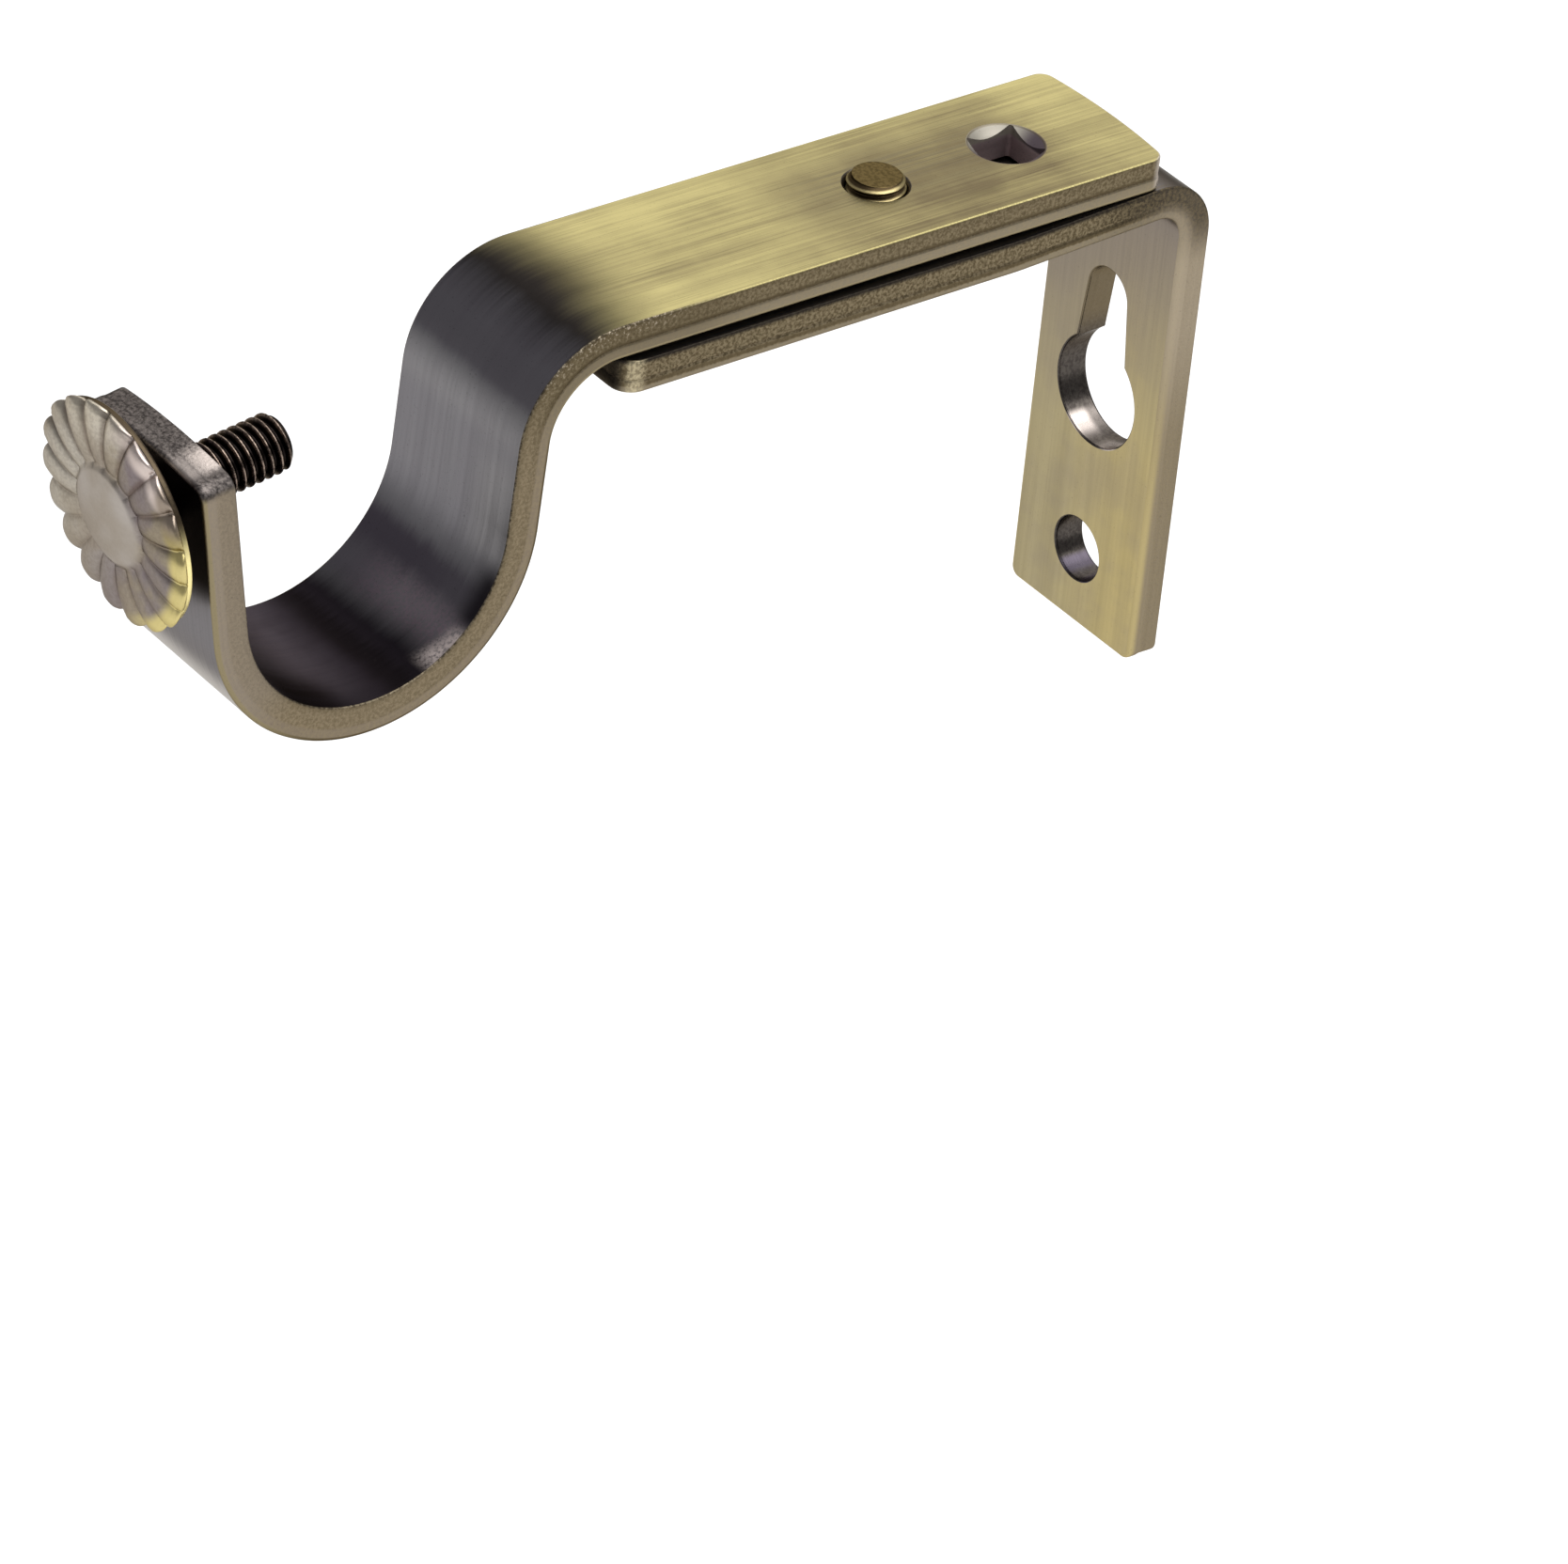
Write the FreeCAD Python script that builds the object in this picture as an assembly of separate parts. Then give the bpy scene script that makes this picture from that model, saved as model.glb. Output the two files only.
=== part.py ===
import FreeCAD, Part
import math
import os

# Adjustable curtain pole bracket, in millimetres.
# Frame: the wall plate's back face is the plane y = 0, the arm reaches toward -Y,
# X runs across the strap and +Z is up.
# The origin is on the back face, on the strap's centre line, between the keyhole and the screw hole.

# Strap stock shared by both bent pieces
STRAP_W = 16.0
STRAP_T = 3.0
EDGE_R = 0.35
HALF_W = STRAP_W / 2.0

# Cutting tools reach well past the strap, and places closer than TOL are the same
REACH = 4.0 * STRAP_T
TOL = 1e-4

# Wall bracket
PLATE_BOTTOM_Z = -13.7
PLATE_CORNER_R = 1.0
WALL_BEND_R = 2.5
CREST_Z = 32.95
LEG_TOP_Z = 32.3
LEG_BREAK_Y = -20.0
LEG_BREAK_R = 30.0
LEG_END_Y = -59.3
LEG_CORNER_R = 2.0
SCREW_HOLE_R = 2.87
SCREW_HOLE_Z = -6.8
KEY_R = 4.95
KEY_Z = 8.7
KEY_SLOT_R = 2.45
KEY_SLOT_TOP_Z = 20.45
KEY_JOIN_HALF = 3.05
RIM_R = 0.12
ADJ_SLOT_R = 2.7
ADJ_SLOT_Y = (-24.0, -50.3)

# Hook arm
ARM_TOP_Z = 36.0
ARM_END_Y = -5.2
CROWN_SAG = 0.55
CROWN_CORNER_R = 1.3
ARM_BEND_Y = -59.6
ARM_BEND_R = 6.3
DROP_TURN = 86.2
DROP_LENGTH = 7.5
CUP_R = 12.15
LIP_LEAN = 8.0
LIP_LENGTH = 14.9
LIP_BORE_R = 2.5
BOLT_HOLE_Y = -15.9
BOLT_HOLE_SIDE = 4.7
BOLT_HOLE_CORNER = 0.3
BOLT_SINK_R = 3.2
BOLT_SINK_DEPTH = 0.7
BOLT_SINK_SLOPE = 1.2
TAP_Y = -29.1
TAP_R = 2.55
TAP_SINK_DEPTH = 0.25

# Adjusting screw, put in from below through the slot
SCREW_R = 2.45
SCREW_TIP_Z = 36.85
SCREW_CHAMFER = 0.65
PAN_R = 4.6
PAN_H = 2.9
PAN_EDGE = 0.9
BEARING_GAP = 0.02
DRIVE_W = 1.2
DRIVE_DEPTH = 1.4

# Thumbscrew through the lip; distances t are measured outward from the lip's inner face
THUMB_BELOW_PEAK = 5.55
THUMB_TIP_T = -8.9
THUMB_CHAMFER = 0.5
HEAD_R = 9.66
HEAD_RIM_T = 6.35
HEAD_RIM_R = 0.15
HEAD_BACK_R = 9.2
HEAD_BACK_T = 5.2
HEAD_TOP_T = 7.25
HEAD_BOSS_R = 4.0
HEAD_BOSS_FALL = 0.4
HEAD_WALL = 0.9
HEAD_RECESS = 0.3
HEAD_HUB_R = 3.4
PETALS = 18
PETAL_HALF = 0.85
PETAL_DEPTH = 0.5
PETAL_NOTCH = 0.55
PETAL_LEDGE_T = 5.75

V = FreeCAD.Vector


def walk(y, z, heading, steps):
    """Edges of a bent strap's two faces in the YZ plane, half a thickness either side of its middle line.

    heading is in degrees from +Y toward +Z; a step is ("line", length) or ("arc", middle radius, turn).
    Also gives the middle line's end point.
    """
    left = []
    right = []
    half = STRAP_T / 2.0
    a = math.radians(heading)
    for step in steps:
        ny = -math.sin(a)
        nz = math.cos(a)
        if step[0] == "line":
            y2 = y + step[1] * math.cos(a)
            z2 = z + step[1] * math.sin(a)
            for side, edges in ((half, left), (-half, right)):
                p = V(0, y + ny * side, z + nz * side)
                q = V(0, y2 + ny * side, z2 + nz * side)
                edges.append(Part.LineSegment(p, q).toShape())
            y = y2
            z = z2
        else:
            turn = math.radians(step[2])
            sign = 1.0 if turn > 0 else -1.0
            cy = y + ny * step[1] * sign
            cz = z + nz * step[1] * sign
            for side, edges in ((half, left), (-half, right)):
                radius = (step[1] - side * sign) * sign
                pts = []
                for share in (0.0, 0.5, 1.0):
                    b = a + turn * share
                    pts.append(V(0, cy + math.sin(b) * radius, cz - math.cos(b) * radius))
                edges.append(Part.Arc(*pts).toShape())
            a = a + turn
            y = cy + math.sin(a) * step[1] * sign
            z = cz - math.cos(a) * step[1] * sign
    return left, right, y, z


def strap(left, right):
    """Extrude a bent outline across the strap's width and round its long edges."""
    first = Part.LineSegment(right[0].Vertexes[0].Point, left[0].Vertexes[0].Point).toShape()
    last = Part.LineSegment(left[-1].Vertexes[-1].Point, right[-1].Vertexes[-1].Point).toShape()
    face = Part.Face(Part.Wire(Part.__sortEdges__([first] + left + [last] + right)))
    face.translate(V(-HALF_W, 0, 0))
    solid = face.extrude(V(STRAP_W, 0, 0))
    long_edges = []
    for edge in solid.Edges:
        c = edge.CenterOfMass
        on_side = abs(abs(c.x) - HALF_W) < TOL
        ends = [V(c.x, e.CenterOfMass.y, e.CenterOfMass.z) for e in (first, last)]
        if on_side and all(c.distanceToPoint(e) > TOL for e in ends):
            long_edges.append(edge)
    return solid.makeFillet(EDGE_R, long_edges)


def arc_edge(centre, radius, start, stop):
    """Arc in the xy plane by its centre and its start and stop angles."""
    pts = []
    for a in (start, (start + stop) / 2.0, stop):
        pts.append(V(centre[0] + radius * math.cos(a), centre[1] + radius * math.sin(a), 0))
    return Part.Arc(*pts).toShape()


def chain(points):
    """Straight edges from point to point."""
    return [Part.LineSegment(p, q).toShape() for p, q in zip(points, points[1:])]


def end_tool(sag, corner, reach, depth):
    """What lies beyond a strap's end, drawn with the end's middle at the origin and the strap toward -y.

    The end is a crown that falls by sag at the strap's sides, or square where sag is 0, with round corners.
    """
    if sag > 0:
        big = (HALF_W * HALF_W + sag * sag) / (2.0 * sag)
        inner = HALF_W - corner
        v = math.sqrt((big - corner) ** 2 - inner ** 2) - big
        tilt = math.acos(inner / (big - corner))
        top = [arc_edge((0, -big), big, tilt, math.pi - tilt)]
    else:
        v = -corner
        tilt = math.pi / 2.0
        top = chain([V(HALF_W - corner, 0, 0), V(corner - HALF_W, 0, 0)])
    right_corner = arc_edge((HALF_W - corner, v), corner, 0.0, tilt)
    left_corner = arc_edge((corner - HALF_W, v), corner, math.pi - tilt, math.pi)
    wide = REACH
    border = [V(-HALF_W, v, 0), V(-wide, v, 0), V(-wide, reach, 0)]
    border = border + [V(wide, reach, 0), V(wide, v, 0), V(HALF_W, v, 0)]
    wire = Part.Wire([right_corner] + top + [left_corner] + chain(border))
    return Part.Face(wire).extrude(V(0, 0, depth))


def placed(shape, origin, x, y):
    """Copy of a shape drawn at the origin, moved there with its x and y along the given directions."""
    z = x.cross(y)
    rows = [x.x, y.x, z.x, origin.x, x.y, y.y, z.y, origin.y, x.z, y.z, z.z, origin.z, 0, 0, 0, 1]
    out = shape.copy()
    out.Placement = FreeCAD.Placement(FreeCAD.Matrix(*rows))
    return out


def turned(edges):
    """Solid of revolution about z from a closed outline in the xz plane."""
    return Part.Face(Part.Wire(edges)).revolve(V(0, 0, 0), V(0, 0, 1), 360.0)


def wedge(tip, base):
    """Three-sided spike from its tip to the triangle that is its base."""
    a, b, c = base
    rings = [[tip, a, b, tip], [tip, b, c, tip], [tip, c, a, tip], [a, c, b, a]]
    return Part.Solid(Part.Shell([Part.Face(Part.makePolygon(r)) for r in rings]))


X_DIR = V(1, 0, 0)
Y_DIR = V(0, 1, 0)
Z_DIR = V(0, 0, 1)
HALF_T = STRAP_T / 2.0


def make_wall_bracket():
    """Plate up the wall with its keyhole and screw hole, bend, then the slotted leg under the arm."""
    crest_y = -(WALL_BEND_R + STRAP_T)
    lean = math.atan2(CREST_Z - LEG_TOP_Z, crest_y - LEG_BREAK_Y)
    rise = CREST_Z - STRAP_T - WALL_BEND_R - PLATE_BOTTOM_Z
    steps = [("line", rise), ("arc", WALL_BEND_R + HALF_T, 90.0 + math.degrees(lean))]
    y, z = walk(-HALF_T, PLATE_BOTTOM_Z, 90.0, steps)[2:]
    ease = LEG_BREAK_R * math.tan(lean / 2.0)
    run = (z - LEG_TOP_Z + HALF_T) / math.sin(lean) - ease
    flat_y = y - run * math.cos(lean) - LEG_BREAK_R * math.sin(lean)
    steps = steps + [("line", run), ("arc", LEG_BREAK_R, -math.degrees(lean)), ("line", flat_y - LEG_END_Y)]
    body = strap(*walk(-HALF_T, PLATE_BOTTOM_Z, 90.0, steps)[:2])

    plate_end = end_tool(0.0, PLATE_CORNER_R, REACH, REACH)
    leg_end = end_tool(0.0, LEG_CORNER_R, REACH, REACH)
    tools = [placed(plate_end, V(0, -REACH / 2.0, PLATE_BOTTOM_Z), X_DIR, -Z_DIR)]
    tools.append(placed(leg_end, V(0, LEG_END_Y, LEG_TOP_Z + REACH / 3.0), X_DIR, -Y_DIR))
    tools.append(Part.makeCylinder(SCREW_HOLE_R, REACH, V(0, REACH / 2.0, SCREW_HOLE_Z), -Y_DIR))
    tools.append(keyhole_tool())
    span = ADJ_SLOT_Y[0] - ADJ_SLOT_Y[1]
    low = LEG_TOP_Z - REACH / 2.0
    slot = Part.makeBox(2 * ADJ_SLOT_R, span, REACH, V(-ADJ_SLOT_R, ADJ_SLOT_Y[1], low))
    ends = [Part.makeCylinder(ADJ_SLOT_R, REACH, V(0, y, low), Z_DIR) for y in ADJ_SLOT_Y]
    tools.append(slot.fuse(ends).removeSplitter())
    body = body.cut(tools)

    rims = []
    for edge in body.Edges:
        c = edge.CenterOfMass
        on_face = all(abs(v.Y + STRAP_T) < TOL for v in edge.Vertexes) and abs(c.y + STRAP_T) < TOL
        if on_face and abs(c.x) < KEY_R and PLATE_BOTTOM_Z + PLATE_CORNER_R < c.z < KEY_SLOT_TOP_Z:
            rims.append(edge)
    return body.makeChamfer(RIM_R, rims)


def keyhole_tool():
    """Round entry with a slot above it that narrows toward its round top."""
    y = REACH / 2.0
    entry = Part.makeCylinder(KEY_R, REACH, V(0, y, KEY_Z), -Y_DIR)
    top_z = KEY_SLOT_TOP_Z - KEY_SLOT_R
    join_z = KEY_Z + math.sqrt(KEY_R * KEY_R - KEY_JOIN_HALF * KEY_JOIN_HALF)
    taper = math.atan2(KEY_JOIN_HALF - KEY_SLOT_R, top_z - join_z)
    side = V(KEY_SLOT_R * math.cos(taper), y, top_z + KEY_SLOT_R * math.sin(taper))
    other = V(-side.x, y, side.z)
    arc = Part.Arc(other, V(0, y, KEY_SLOT_TOP_Z), side).toShape()
    points = [side, V(KEY_JOIN_HALF, y, join_z), V(0, y, KEY_Z), V(-KEY_JOIN_HALF, y, join_z), other]
    slot = Part.Face(Part.Wire([arc] + chain(points))).extrude(V(0, -REACH, 0))
    return entry.fuse(slot).removeSplitter()


# The hook arm's way from its wall end down to the cup, which gives the cup's and the lip's places
ARM_START = (ARM_END_Y + CROWN_SAG, ARM_TOP_Z - HALF_T, 180.0)
CUP_MID_R = CUP_R + HALF_T
TO_CUP = [("line", ARM_START[0] - ARM_BEND_Y), ("arc", ARM_BEND_R + HALF_T, DROP_TURN), ("line", DROP_LENGTH)]
CUP_FROM = walk(*ARM_START, TO_CUP)[2:]
DROP = math.radians(180.0 + DROP_TURN)
CUP_AT = V(0, CUP_FROM[0] + CUP_MID_R * math.sin(DROP), CUP_FROM[1] - CUP_MID_R * math.cos(DROP))
LEAN = math.radians(LIP_LEAN)
LIP_UP = V(0, -math.sin(LEAN), math.cos(LEAN))
INWARD = V(0, math.cos(LEAN), math.sin(LEAN))
LIP_PEAK = CUP_AT - INWARD * CUP_R + LIP_UP * LIP_LENGTH
BORE_AT = LIP_PEAK - LIP_UP * THUMB_BELOW_PEAK


def make_hook_arm():
    """Straight top, bend down, cup for the pole and a lip that leans out, from one length of strap."""
    steps = TO_CUP + [("arc", CUP_MID_R, LIP_LEAN - 90.0 - DROP_TURN), ("line", LIP_LENGTH + CROWN_SAG)]
    body = strap(*walk(*ARM_START, steps)[:2])

    crown = end_tool(CROWN_SAG, CROWN_CORNER_R, REACH, REACH)
    tools = [placed(crown, V(0, ARM_END_Y, ARM_TOP_Z - REACH / 2.0), X_DIR, Y_DIR)]
    tools.append(placed(crown, LIP_PEAK + INWARD * (REACH / 2.0), X_DIR, LIP_UP))
    under = ARM_TOP_Z - REACH / 2.0
    half = BOLT_HOLE_SIDE / 2.0
    square = Part.makeBox(BOLT_HOLE_SIDE, BOLT_HOLE_SIDE, REACH, V(-half, BOLT_HOLE_Y - half, under))
    upright = [e for e in square.Edges if abs(e.tangentAt(e.FirstParameter).z) > 0.9]
    tools.append(square.makeFillet(BOLT_HOLE_CORNER, upright))
    tools.append(countersink(BOLT_HOLE_Y, BOLT_SINK_R, BOLT_SINK_SLOPE, BOLT_SINK_DEPTH))
    tools.append(Part.makeCylinder(TAP_R, REACH, V(0, TAP_Y, under), Z_DIR))
    tools.append(countersink(TAP_Y, TAP_R + TAP_SINK_DEPTH, 1.0, TAP_SINK_DEPTH))
    tools.append(Part.makeCylinder(LIP_BORE_R, REACH, BORE_AT + INWARD * (REACH / 3.0), -INWARD))
    return body.cut(tools)


def countersink(y, radius, slope, depth):
    """Cone into the arm's top face: its radius there, and how much that shrinks for each millimetre down."""
    low = V(0, y, ARM_TOP_Z - depth)
    return Part.makeCone(radius - slope * depth, radius + slope * depth, 2 * depth, low, Z_DIR)


def make_adjusting_screw():
    """Slotted pan-head screw, up through the leg's slot into the arm, with its end standing out."""
    bearing = LEG_TOP_Z - STRAP_T - BEARING_GAP
    base = bearing - PAN_H
    points = [V(PAN_R - PAN_EDGE, 0, base), V(PAN_R, 0, base + PAN_EDGE), V(PAN_R, 0, bearing)]
    points = points + [V(SCREW_R, 0, bearing), V(SCREW_R, 0, SCREW_TIP_Z - SCREW_CHAMFER)]
    points = points + [V(SCREW_R - SCREW_CHAMFER, 0, SCREW_TIP_Z), V(0, 0, SCREW_TIP_Z), V(0, 0, base)]
    screw = turned(chain(points + points[:1]))
    size = (3 * PAN_R, DRIVE_W, 2 * DRIVE_DEPTH)
    drive = Part.makeBox(*size, V(-size[0] / 2.0, -size[1] / 2.0, base - DRIVE_DEPTH))
    screw = screw.cut(drive)
    screw.translate(V(0, TAP_Y, 0))
    return screw


def make_shank():
    """Plain core of the thumbscrew's thread, drawn with z outward from the lip's inner face."""
    points = [V(0, 0, HEAD_BACK_T), V(0, 0, THUMB_TIP_T), V(SCREW_R - THUMB_CHAMFER, 0, THUMB_TIP_T)]
    points = points + [V(SCREW_R, 0, THUMB_TIP_T + THUMB_CHAMFER), V(SCREW_R, 0, HEAD_BACK_T), points[0]]
    return turned(chain(points))


def make_head():
    """Round head: smooth boss, petals parted by grooves that deepen to a notched rim, and behind them a
    plain ring that draws in toward the dished back.
    """
    rim_in = HEAD_BACK_R - HEAD_WALL
    floor = HEAD_BACK_T + HEAD_RECESS
    edge = V(HEAD_BOSS_R, 0, HEAD_TOP_T - HEAD_BOSS_FALL)
    shoulder = V(HEAD_R - 2.0 * HEAD_RIM_R, 0, HEAD_RIM_T + HEAD_RIM_R)
    dome = (HEAD_BOSS_R ** 2 + HEAD_BOSS_FALL ** 2) / (2.0 * HEAD_BOSS_FALL)
    half_way = math.sqrt(dome ** 2 - HEAD_BOSS_R ** 2 / 4.0) - dome
    mid = V(HEAD_BOSS_R / 2.0, 0, HEAD_TOP_T + half_way)
    boss = Part.Arc(V(0, 0, HEAD_TOP_T), mid, edge).toShape()
    points = [edge, shoulder, V(HEAD_R, 0, HEAD_RIM_T - HEAD_RIM_R), V(HEAD_BACK_R, 0, HEAD_BACK_T)]
    points = points + [V(rim_in, 0, HEAD_BACK_T), V(rim_in, 0, floor), V(HEAD_HUB_R, 0, floor)]
    points = points + [V(HEAD_HUB_R, 0, HEAD_BACK_T), V(0, 0, HEAD_BACK_T), V(0, 0, HEAD_TOP_T)]
    head = turned([boss] + chain(points))

    past = HEAD_R + PETAL_DEPTH
    grow = (past - HEAD_BOSS_R) / (HEAD_R - HEAD_BOSS_R)
    face_z = edge.z - (edge.z - shoulder.z) * (past - HEAD_BOSS_R) / (shoulder.x - HEAD_BOSS_R)
    low = V(past, 0, face_z - PETAL_DEPTH * grow)
    half = 2.0 * PETAL_HALF * grow
    high = face_z + PETAL_DEPTH * grow
    groove = wedge(edge, [low, V(past, half, high), V(past, -half, high)])
    point = V(HEAD_R - PETAL_NOTCH, 0, PETAL_LEDGE_T)
    wide = PETAL_HALF * (past - point.x) / PETAL_NOTCH
    outline = [point, V(past, wide, point.z), V(past, -wide, point.z), point]
    notch = Part.Face(Part.makePolygon(outline)).extrude(V(0, 0, HEAD_TOP_T))
    cutters = []
    for i in range(PETALS):
        for tool in (groove, notch):
            cutter = tool.copy()
            cutter.rotate(V(0, 0, 0), Z_DIR, 360.0 * (i + 0.5) / PETALS)
            cutters.append(cutter)
    return head.cut(cutters)


def on_lip(shape):
    """Place a piece drawn with z outward from the lip's inner face on the thumbscrew's axis."""
    return placed(shape, BORE_AT, X_DIR, -INWARD.cross(X_DIR))


nodes = {
    "wall_bracket": make_wall_bracket(),
    "hook_arm": make_hook_arm(),
    "adjusting_screw": make_adjusting_screw(),
    "thumbscrew_shank": on_lip(make_shank()),
    "thumbscrew_head": on_lip(make_head()),
}
os.makedirs("parts", exist_ok=True)
for name, shape in nodes.items():
    solid = shape.Solids[0]
    solid.exportStep("parts/" + name + ".step")
    box = solid.optimalBoundingBox()
    low = [round(v, 2) for v in (box.XMin, box.YMin, box.ZMin)]
    high = [round(v, 2) for v in (box.XMax, box.YMax, box.ZMax)]
    print(name, solid.isValid(), len(shape.Solids), round(solid.Volume, 1), low, high)
print("cup centre", CUP_AT, "lip peak", LIP_PEAK)
print("thumbscrew axis from", BORE_AT, "inward along", INWARD)
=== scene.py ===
import math

import bpy
import numpy as np
from mathutils import Matrix


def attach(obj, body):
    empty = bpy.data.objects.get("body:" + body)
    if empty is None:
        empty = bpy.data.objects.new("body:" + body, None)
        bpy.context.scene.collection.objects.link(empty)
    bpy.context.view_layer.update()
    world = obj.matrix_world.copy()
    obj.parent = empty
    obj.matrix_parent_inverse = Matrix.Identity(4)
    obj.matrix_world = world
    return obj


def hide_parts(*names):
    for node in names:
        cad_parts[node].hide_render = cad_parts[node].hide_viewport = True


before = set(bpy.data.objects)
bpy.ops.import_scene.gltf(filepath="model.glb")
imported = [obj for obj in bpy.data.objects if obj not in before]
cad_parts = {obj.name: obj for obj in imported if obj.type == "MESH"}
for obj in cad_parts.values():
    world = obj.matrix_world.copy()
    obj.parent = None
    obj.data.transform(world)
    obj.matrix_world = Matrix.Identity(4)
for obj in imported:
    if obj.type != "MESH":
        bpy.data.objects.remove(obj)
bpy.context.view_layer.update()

# Adjustable curtain pole bracket, worked out in millimetres and put into the meshes in metres.
# The wall is the plane y = 0, the arm reaches toward -Y, X runs across the strap and +Z is up.

MM = 0.001

# Strap stock of both bent pieces
HALF_W = 8.0
HALF_T = 1.5

# Wall strap: up the wall, bend, then the slotted leg under the arm
PLATE_BOTTOM_Z = -13.7
PLATE_CORNER_R = 1.0
WALL_BEND_R = 2.5
CREST_Z = 32.95
LEG_TOP_Z = 32.3
LEG_BREAK_Y = -20.0
LEG_BREAK_R = 30.0
LEG_END_Y = -59.3
LEG_CORNER_R = 2.0
SCREW_HOLE_R = 2.87
SCREW_HOLE_Z = -6.8
KEY_R = 4.95
KEY_Z = 8.7
KEY_SLOT_R = 2.45
KEY_SLOT_TOP_Z = 20.45
KEY_JOIN_HALF = 3.05
ADJ_SLOT_R = 2.7
ADJ_SLOT_Y = (-24.0, -50.3)

# Hook strap: straight top, bend down, cup for the pole, lip
ARM_TOP_Z = 36.0
ARM_END_Y = -5.2
CROWN_SAG = 0.55
CROWN_CORNER_R = 1.3
ARM_BEND_Y = -59.6
ARM_BEND_R = 6.3
DROP_TURN = math.radians(86.2)
DROP_LENGTH = 7.5
CUP_R = 12.15
LIP_LEAN = math.radians(8.0)
LIP_LENGTH = 14.9
LIP_BORE_R = 2.5
BOLT_HOLE_Y = -15.9
BOLT_HOLE_SIDE = 4.7
BOLT_HOLE_CORNER = 0.3
BOLT_SINK_R = 3.2
BOLT_SINK_SLOPE = 1.2
BOLT_HOLE_S = ARM_END_Y - BOLT_HOLE_Y
TAP_Y = -29.1
TAP_R = 2.55

# Adjusting screw
SCREW_R = 2.45
SCREW_TIP_Z = 36.85
PAN_R = 4.6
PAN_H = 2.9
PAN_ROUND = 1.1
PAN_SLOT_WIDTH = 1.2
PAN_SLOT_DEPTH = 1.4
BEARING_Z = 29.28
THREAD_PITCH = 0.85

# Thumbscrew, with t measured outward from the lip's inner face
THUMB_BELOW_PEAK = 5.55
THUMB_TIP_T = -8.9
THREAD_START_T = 5.35
THREAD_DEPTH = 0.46
THREAD_CHAMFER = 0.5
HEAD_R = 9.66
HEAD_TOP_T = 7.25
HEAD_BACK_T = 5.2
HEAD_BOSS_R = 4.0
HEAD_BOSS_FALL = 0.4
BOSS_FLAT_R = 3.8
PETAL_FOOT_R = 4.55
PETALS = 18

# Samples across a strap's face, along a turn of thread and round a hole's outline, and the share of the
# outline to each side that gives its direction
ACROSS = 45
TURN = 72
OUTLINE_STEPS = 6000
OUTLINE_NUDGE = 2e-5

# Half width at which a hole's rays meet the border of its cell, and what a ray along a side gets
REF_HALF = 7.7
NO_SLOPE = 1e-12
FAR = 1e9

# The UV map holds s and x in millimetres on a strap's outer face, and s and x plus INNER_UV on its inner
# one. On its sheared edge the second number is n plus SIDE_UV, and in its holes n plus WALL_UV.
INNER_UV = 40.0
SIDE_UV = 100.0
WALL_UV = 200.0

# Sheared edge from the outer face (n = -1.5) to the inner face: inset from the outline, height n, and
# the outward normal's parts out of the outline and along n. A small worn rounding, the torn zone, a
# shallow step, the smooth sheared zone and a wide roll-over.
SHEARED = np.array([
    [0.180, -1.500, 0.00, -1.00], [0.122, -1.487, 0.38, -0.92], [0.076, -1.446, 0.71, -0.71],
    [0.048, -1.385, 0.92, -0.38], [0.040, -1.320, 1.00, -0.05], [0.045, -0.900, 1.00, 0.02],
    [0.060, -0.450, 1.00, 0.04], [0.070, 0.000, 1.00, 0.04], [0.085, 0.170, 1.00, 0.10],
    [0.120, 0.250, 0.92, 0.40], [0.120, 0.320, 0.88, -0.47], [0.040, 0.400, 0.88, -0.47],
    [0.010, 0.500, 0.99, -0.10], [0.000, 0.700, 1.00, 0.00], [0.000, 1.050, 1.00, 0.05],
    [0.025, 1.220, 0.95, 0.32], [0.085, 1.360, 0.81, 0.59], [0.180, 1.450, 0.50, 0.87],
    [0.310, 1.500, 0.00, 1.00],
])

# The same edge without the step
PLAIN_EDGE = SHEARED.copy()
PLAIN_EDGE[8:13] = [[0.070 - 0.014 * k, SHEARED[7 + k, 1], 1.00, 0.04] for k in range(1, 6)]

# Punched hole from the outer face to the inner face: distance back from the outline and height n, then
# the normal's parts into the hole and along n.
PUNCHED = np.array([
    [0.140, -1.500, 0.00, -1.00], [0.060, -1.470, 0.50, -0.87], [0.015, -1.400, 0.92, -0.38],
    [0.000, -1.300, 1.00, 0.00], [0.000, -0.500, 1.00, 0.00], [0.000, 0.300, 1.00, 0.00],
    [0.000, 1.200, 1.00, 0.00], [0.015, 1.380, 0.95, 0.31], [0.055, 1.460, 0.71, 0.71],
    [0.130, 1.500, 0.00, 1.00],
])

# Threaded hole in the arm, with a small cone at the outer face, laid out as the punched one is.
TAPPED = np.array([
    [0.300, -1.500, 0.00, -1.00], [0.260, -1.480, 0.50, -0.87], [0.130, -1.370, 0.70, -0.71],
    [0.010, -1.250, 0.75, -0.66], [0.000, -1.200, 1.00, 0.00], [0.000, 0.000, 1.00, 0.00],
    [0.000, 1.250, 1.00, 0.00], [0.050, 1.430, 0.80, 0.60], [0.180, 1.500, 0.00, 1.00],
])


def unit(a):
    """Each vector along the last axis divided by its length."""
    return a / np.maximum(np.linalg.norm(a, axis=-1, keepdims=True), 1e-12)


def blend(a, b, share):
    """Points a at share 0, points b at share 1 and straight lines between, one row for each share."""
    return a[None] + np.asarray(share)[:, None, None] * (b - a)[None]


def join(*parts):
    """Coordinates, spread to one shape, as an array of points."""
    return np.stack(np.broadcast_arrays(*parts), -1)


def smooth(low, high, x):
    """0 below low, 1 above high and an S-shaped cubic between."""
    u = np.clip((x - low) / (high - low), 0.0, 1.0)
    return u * u * (3.0 - 2.0 * u)


# The bent paths

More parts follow.
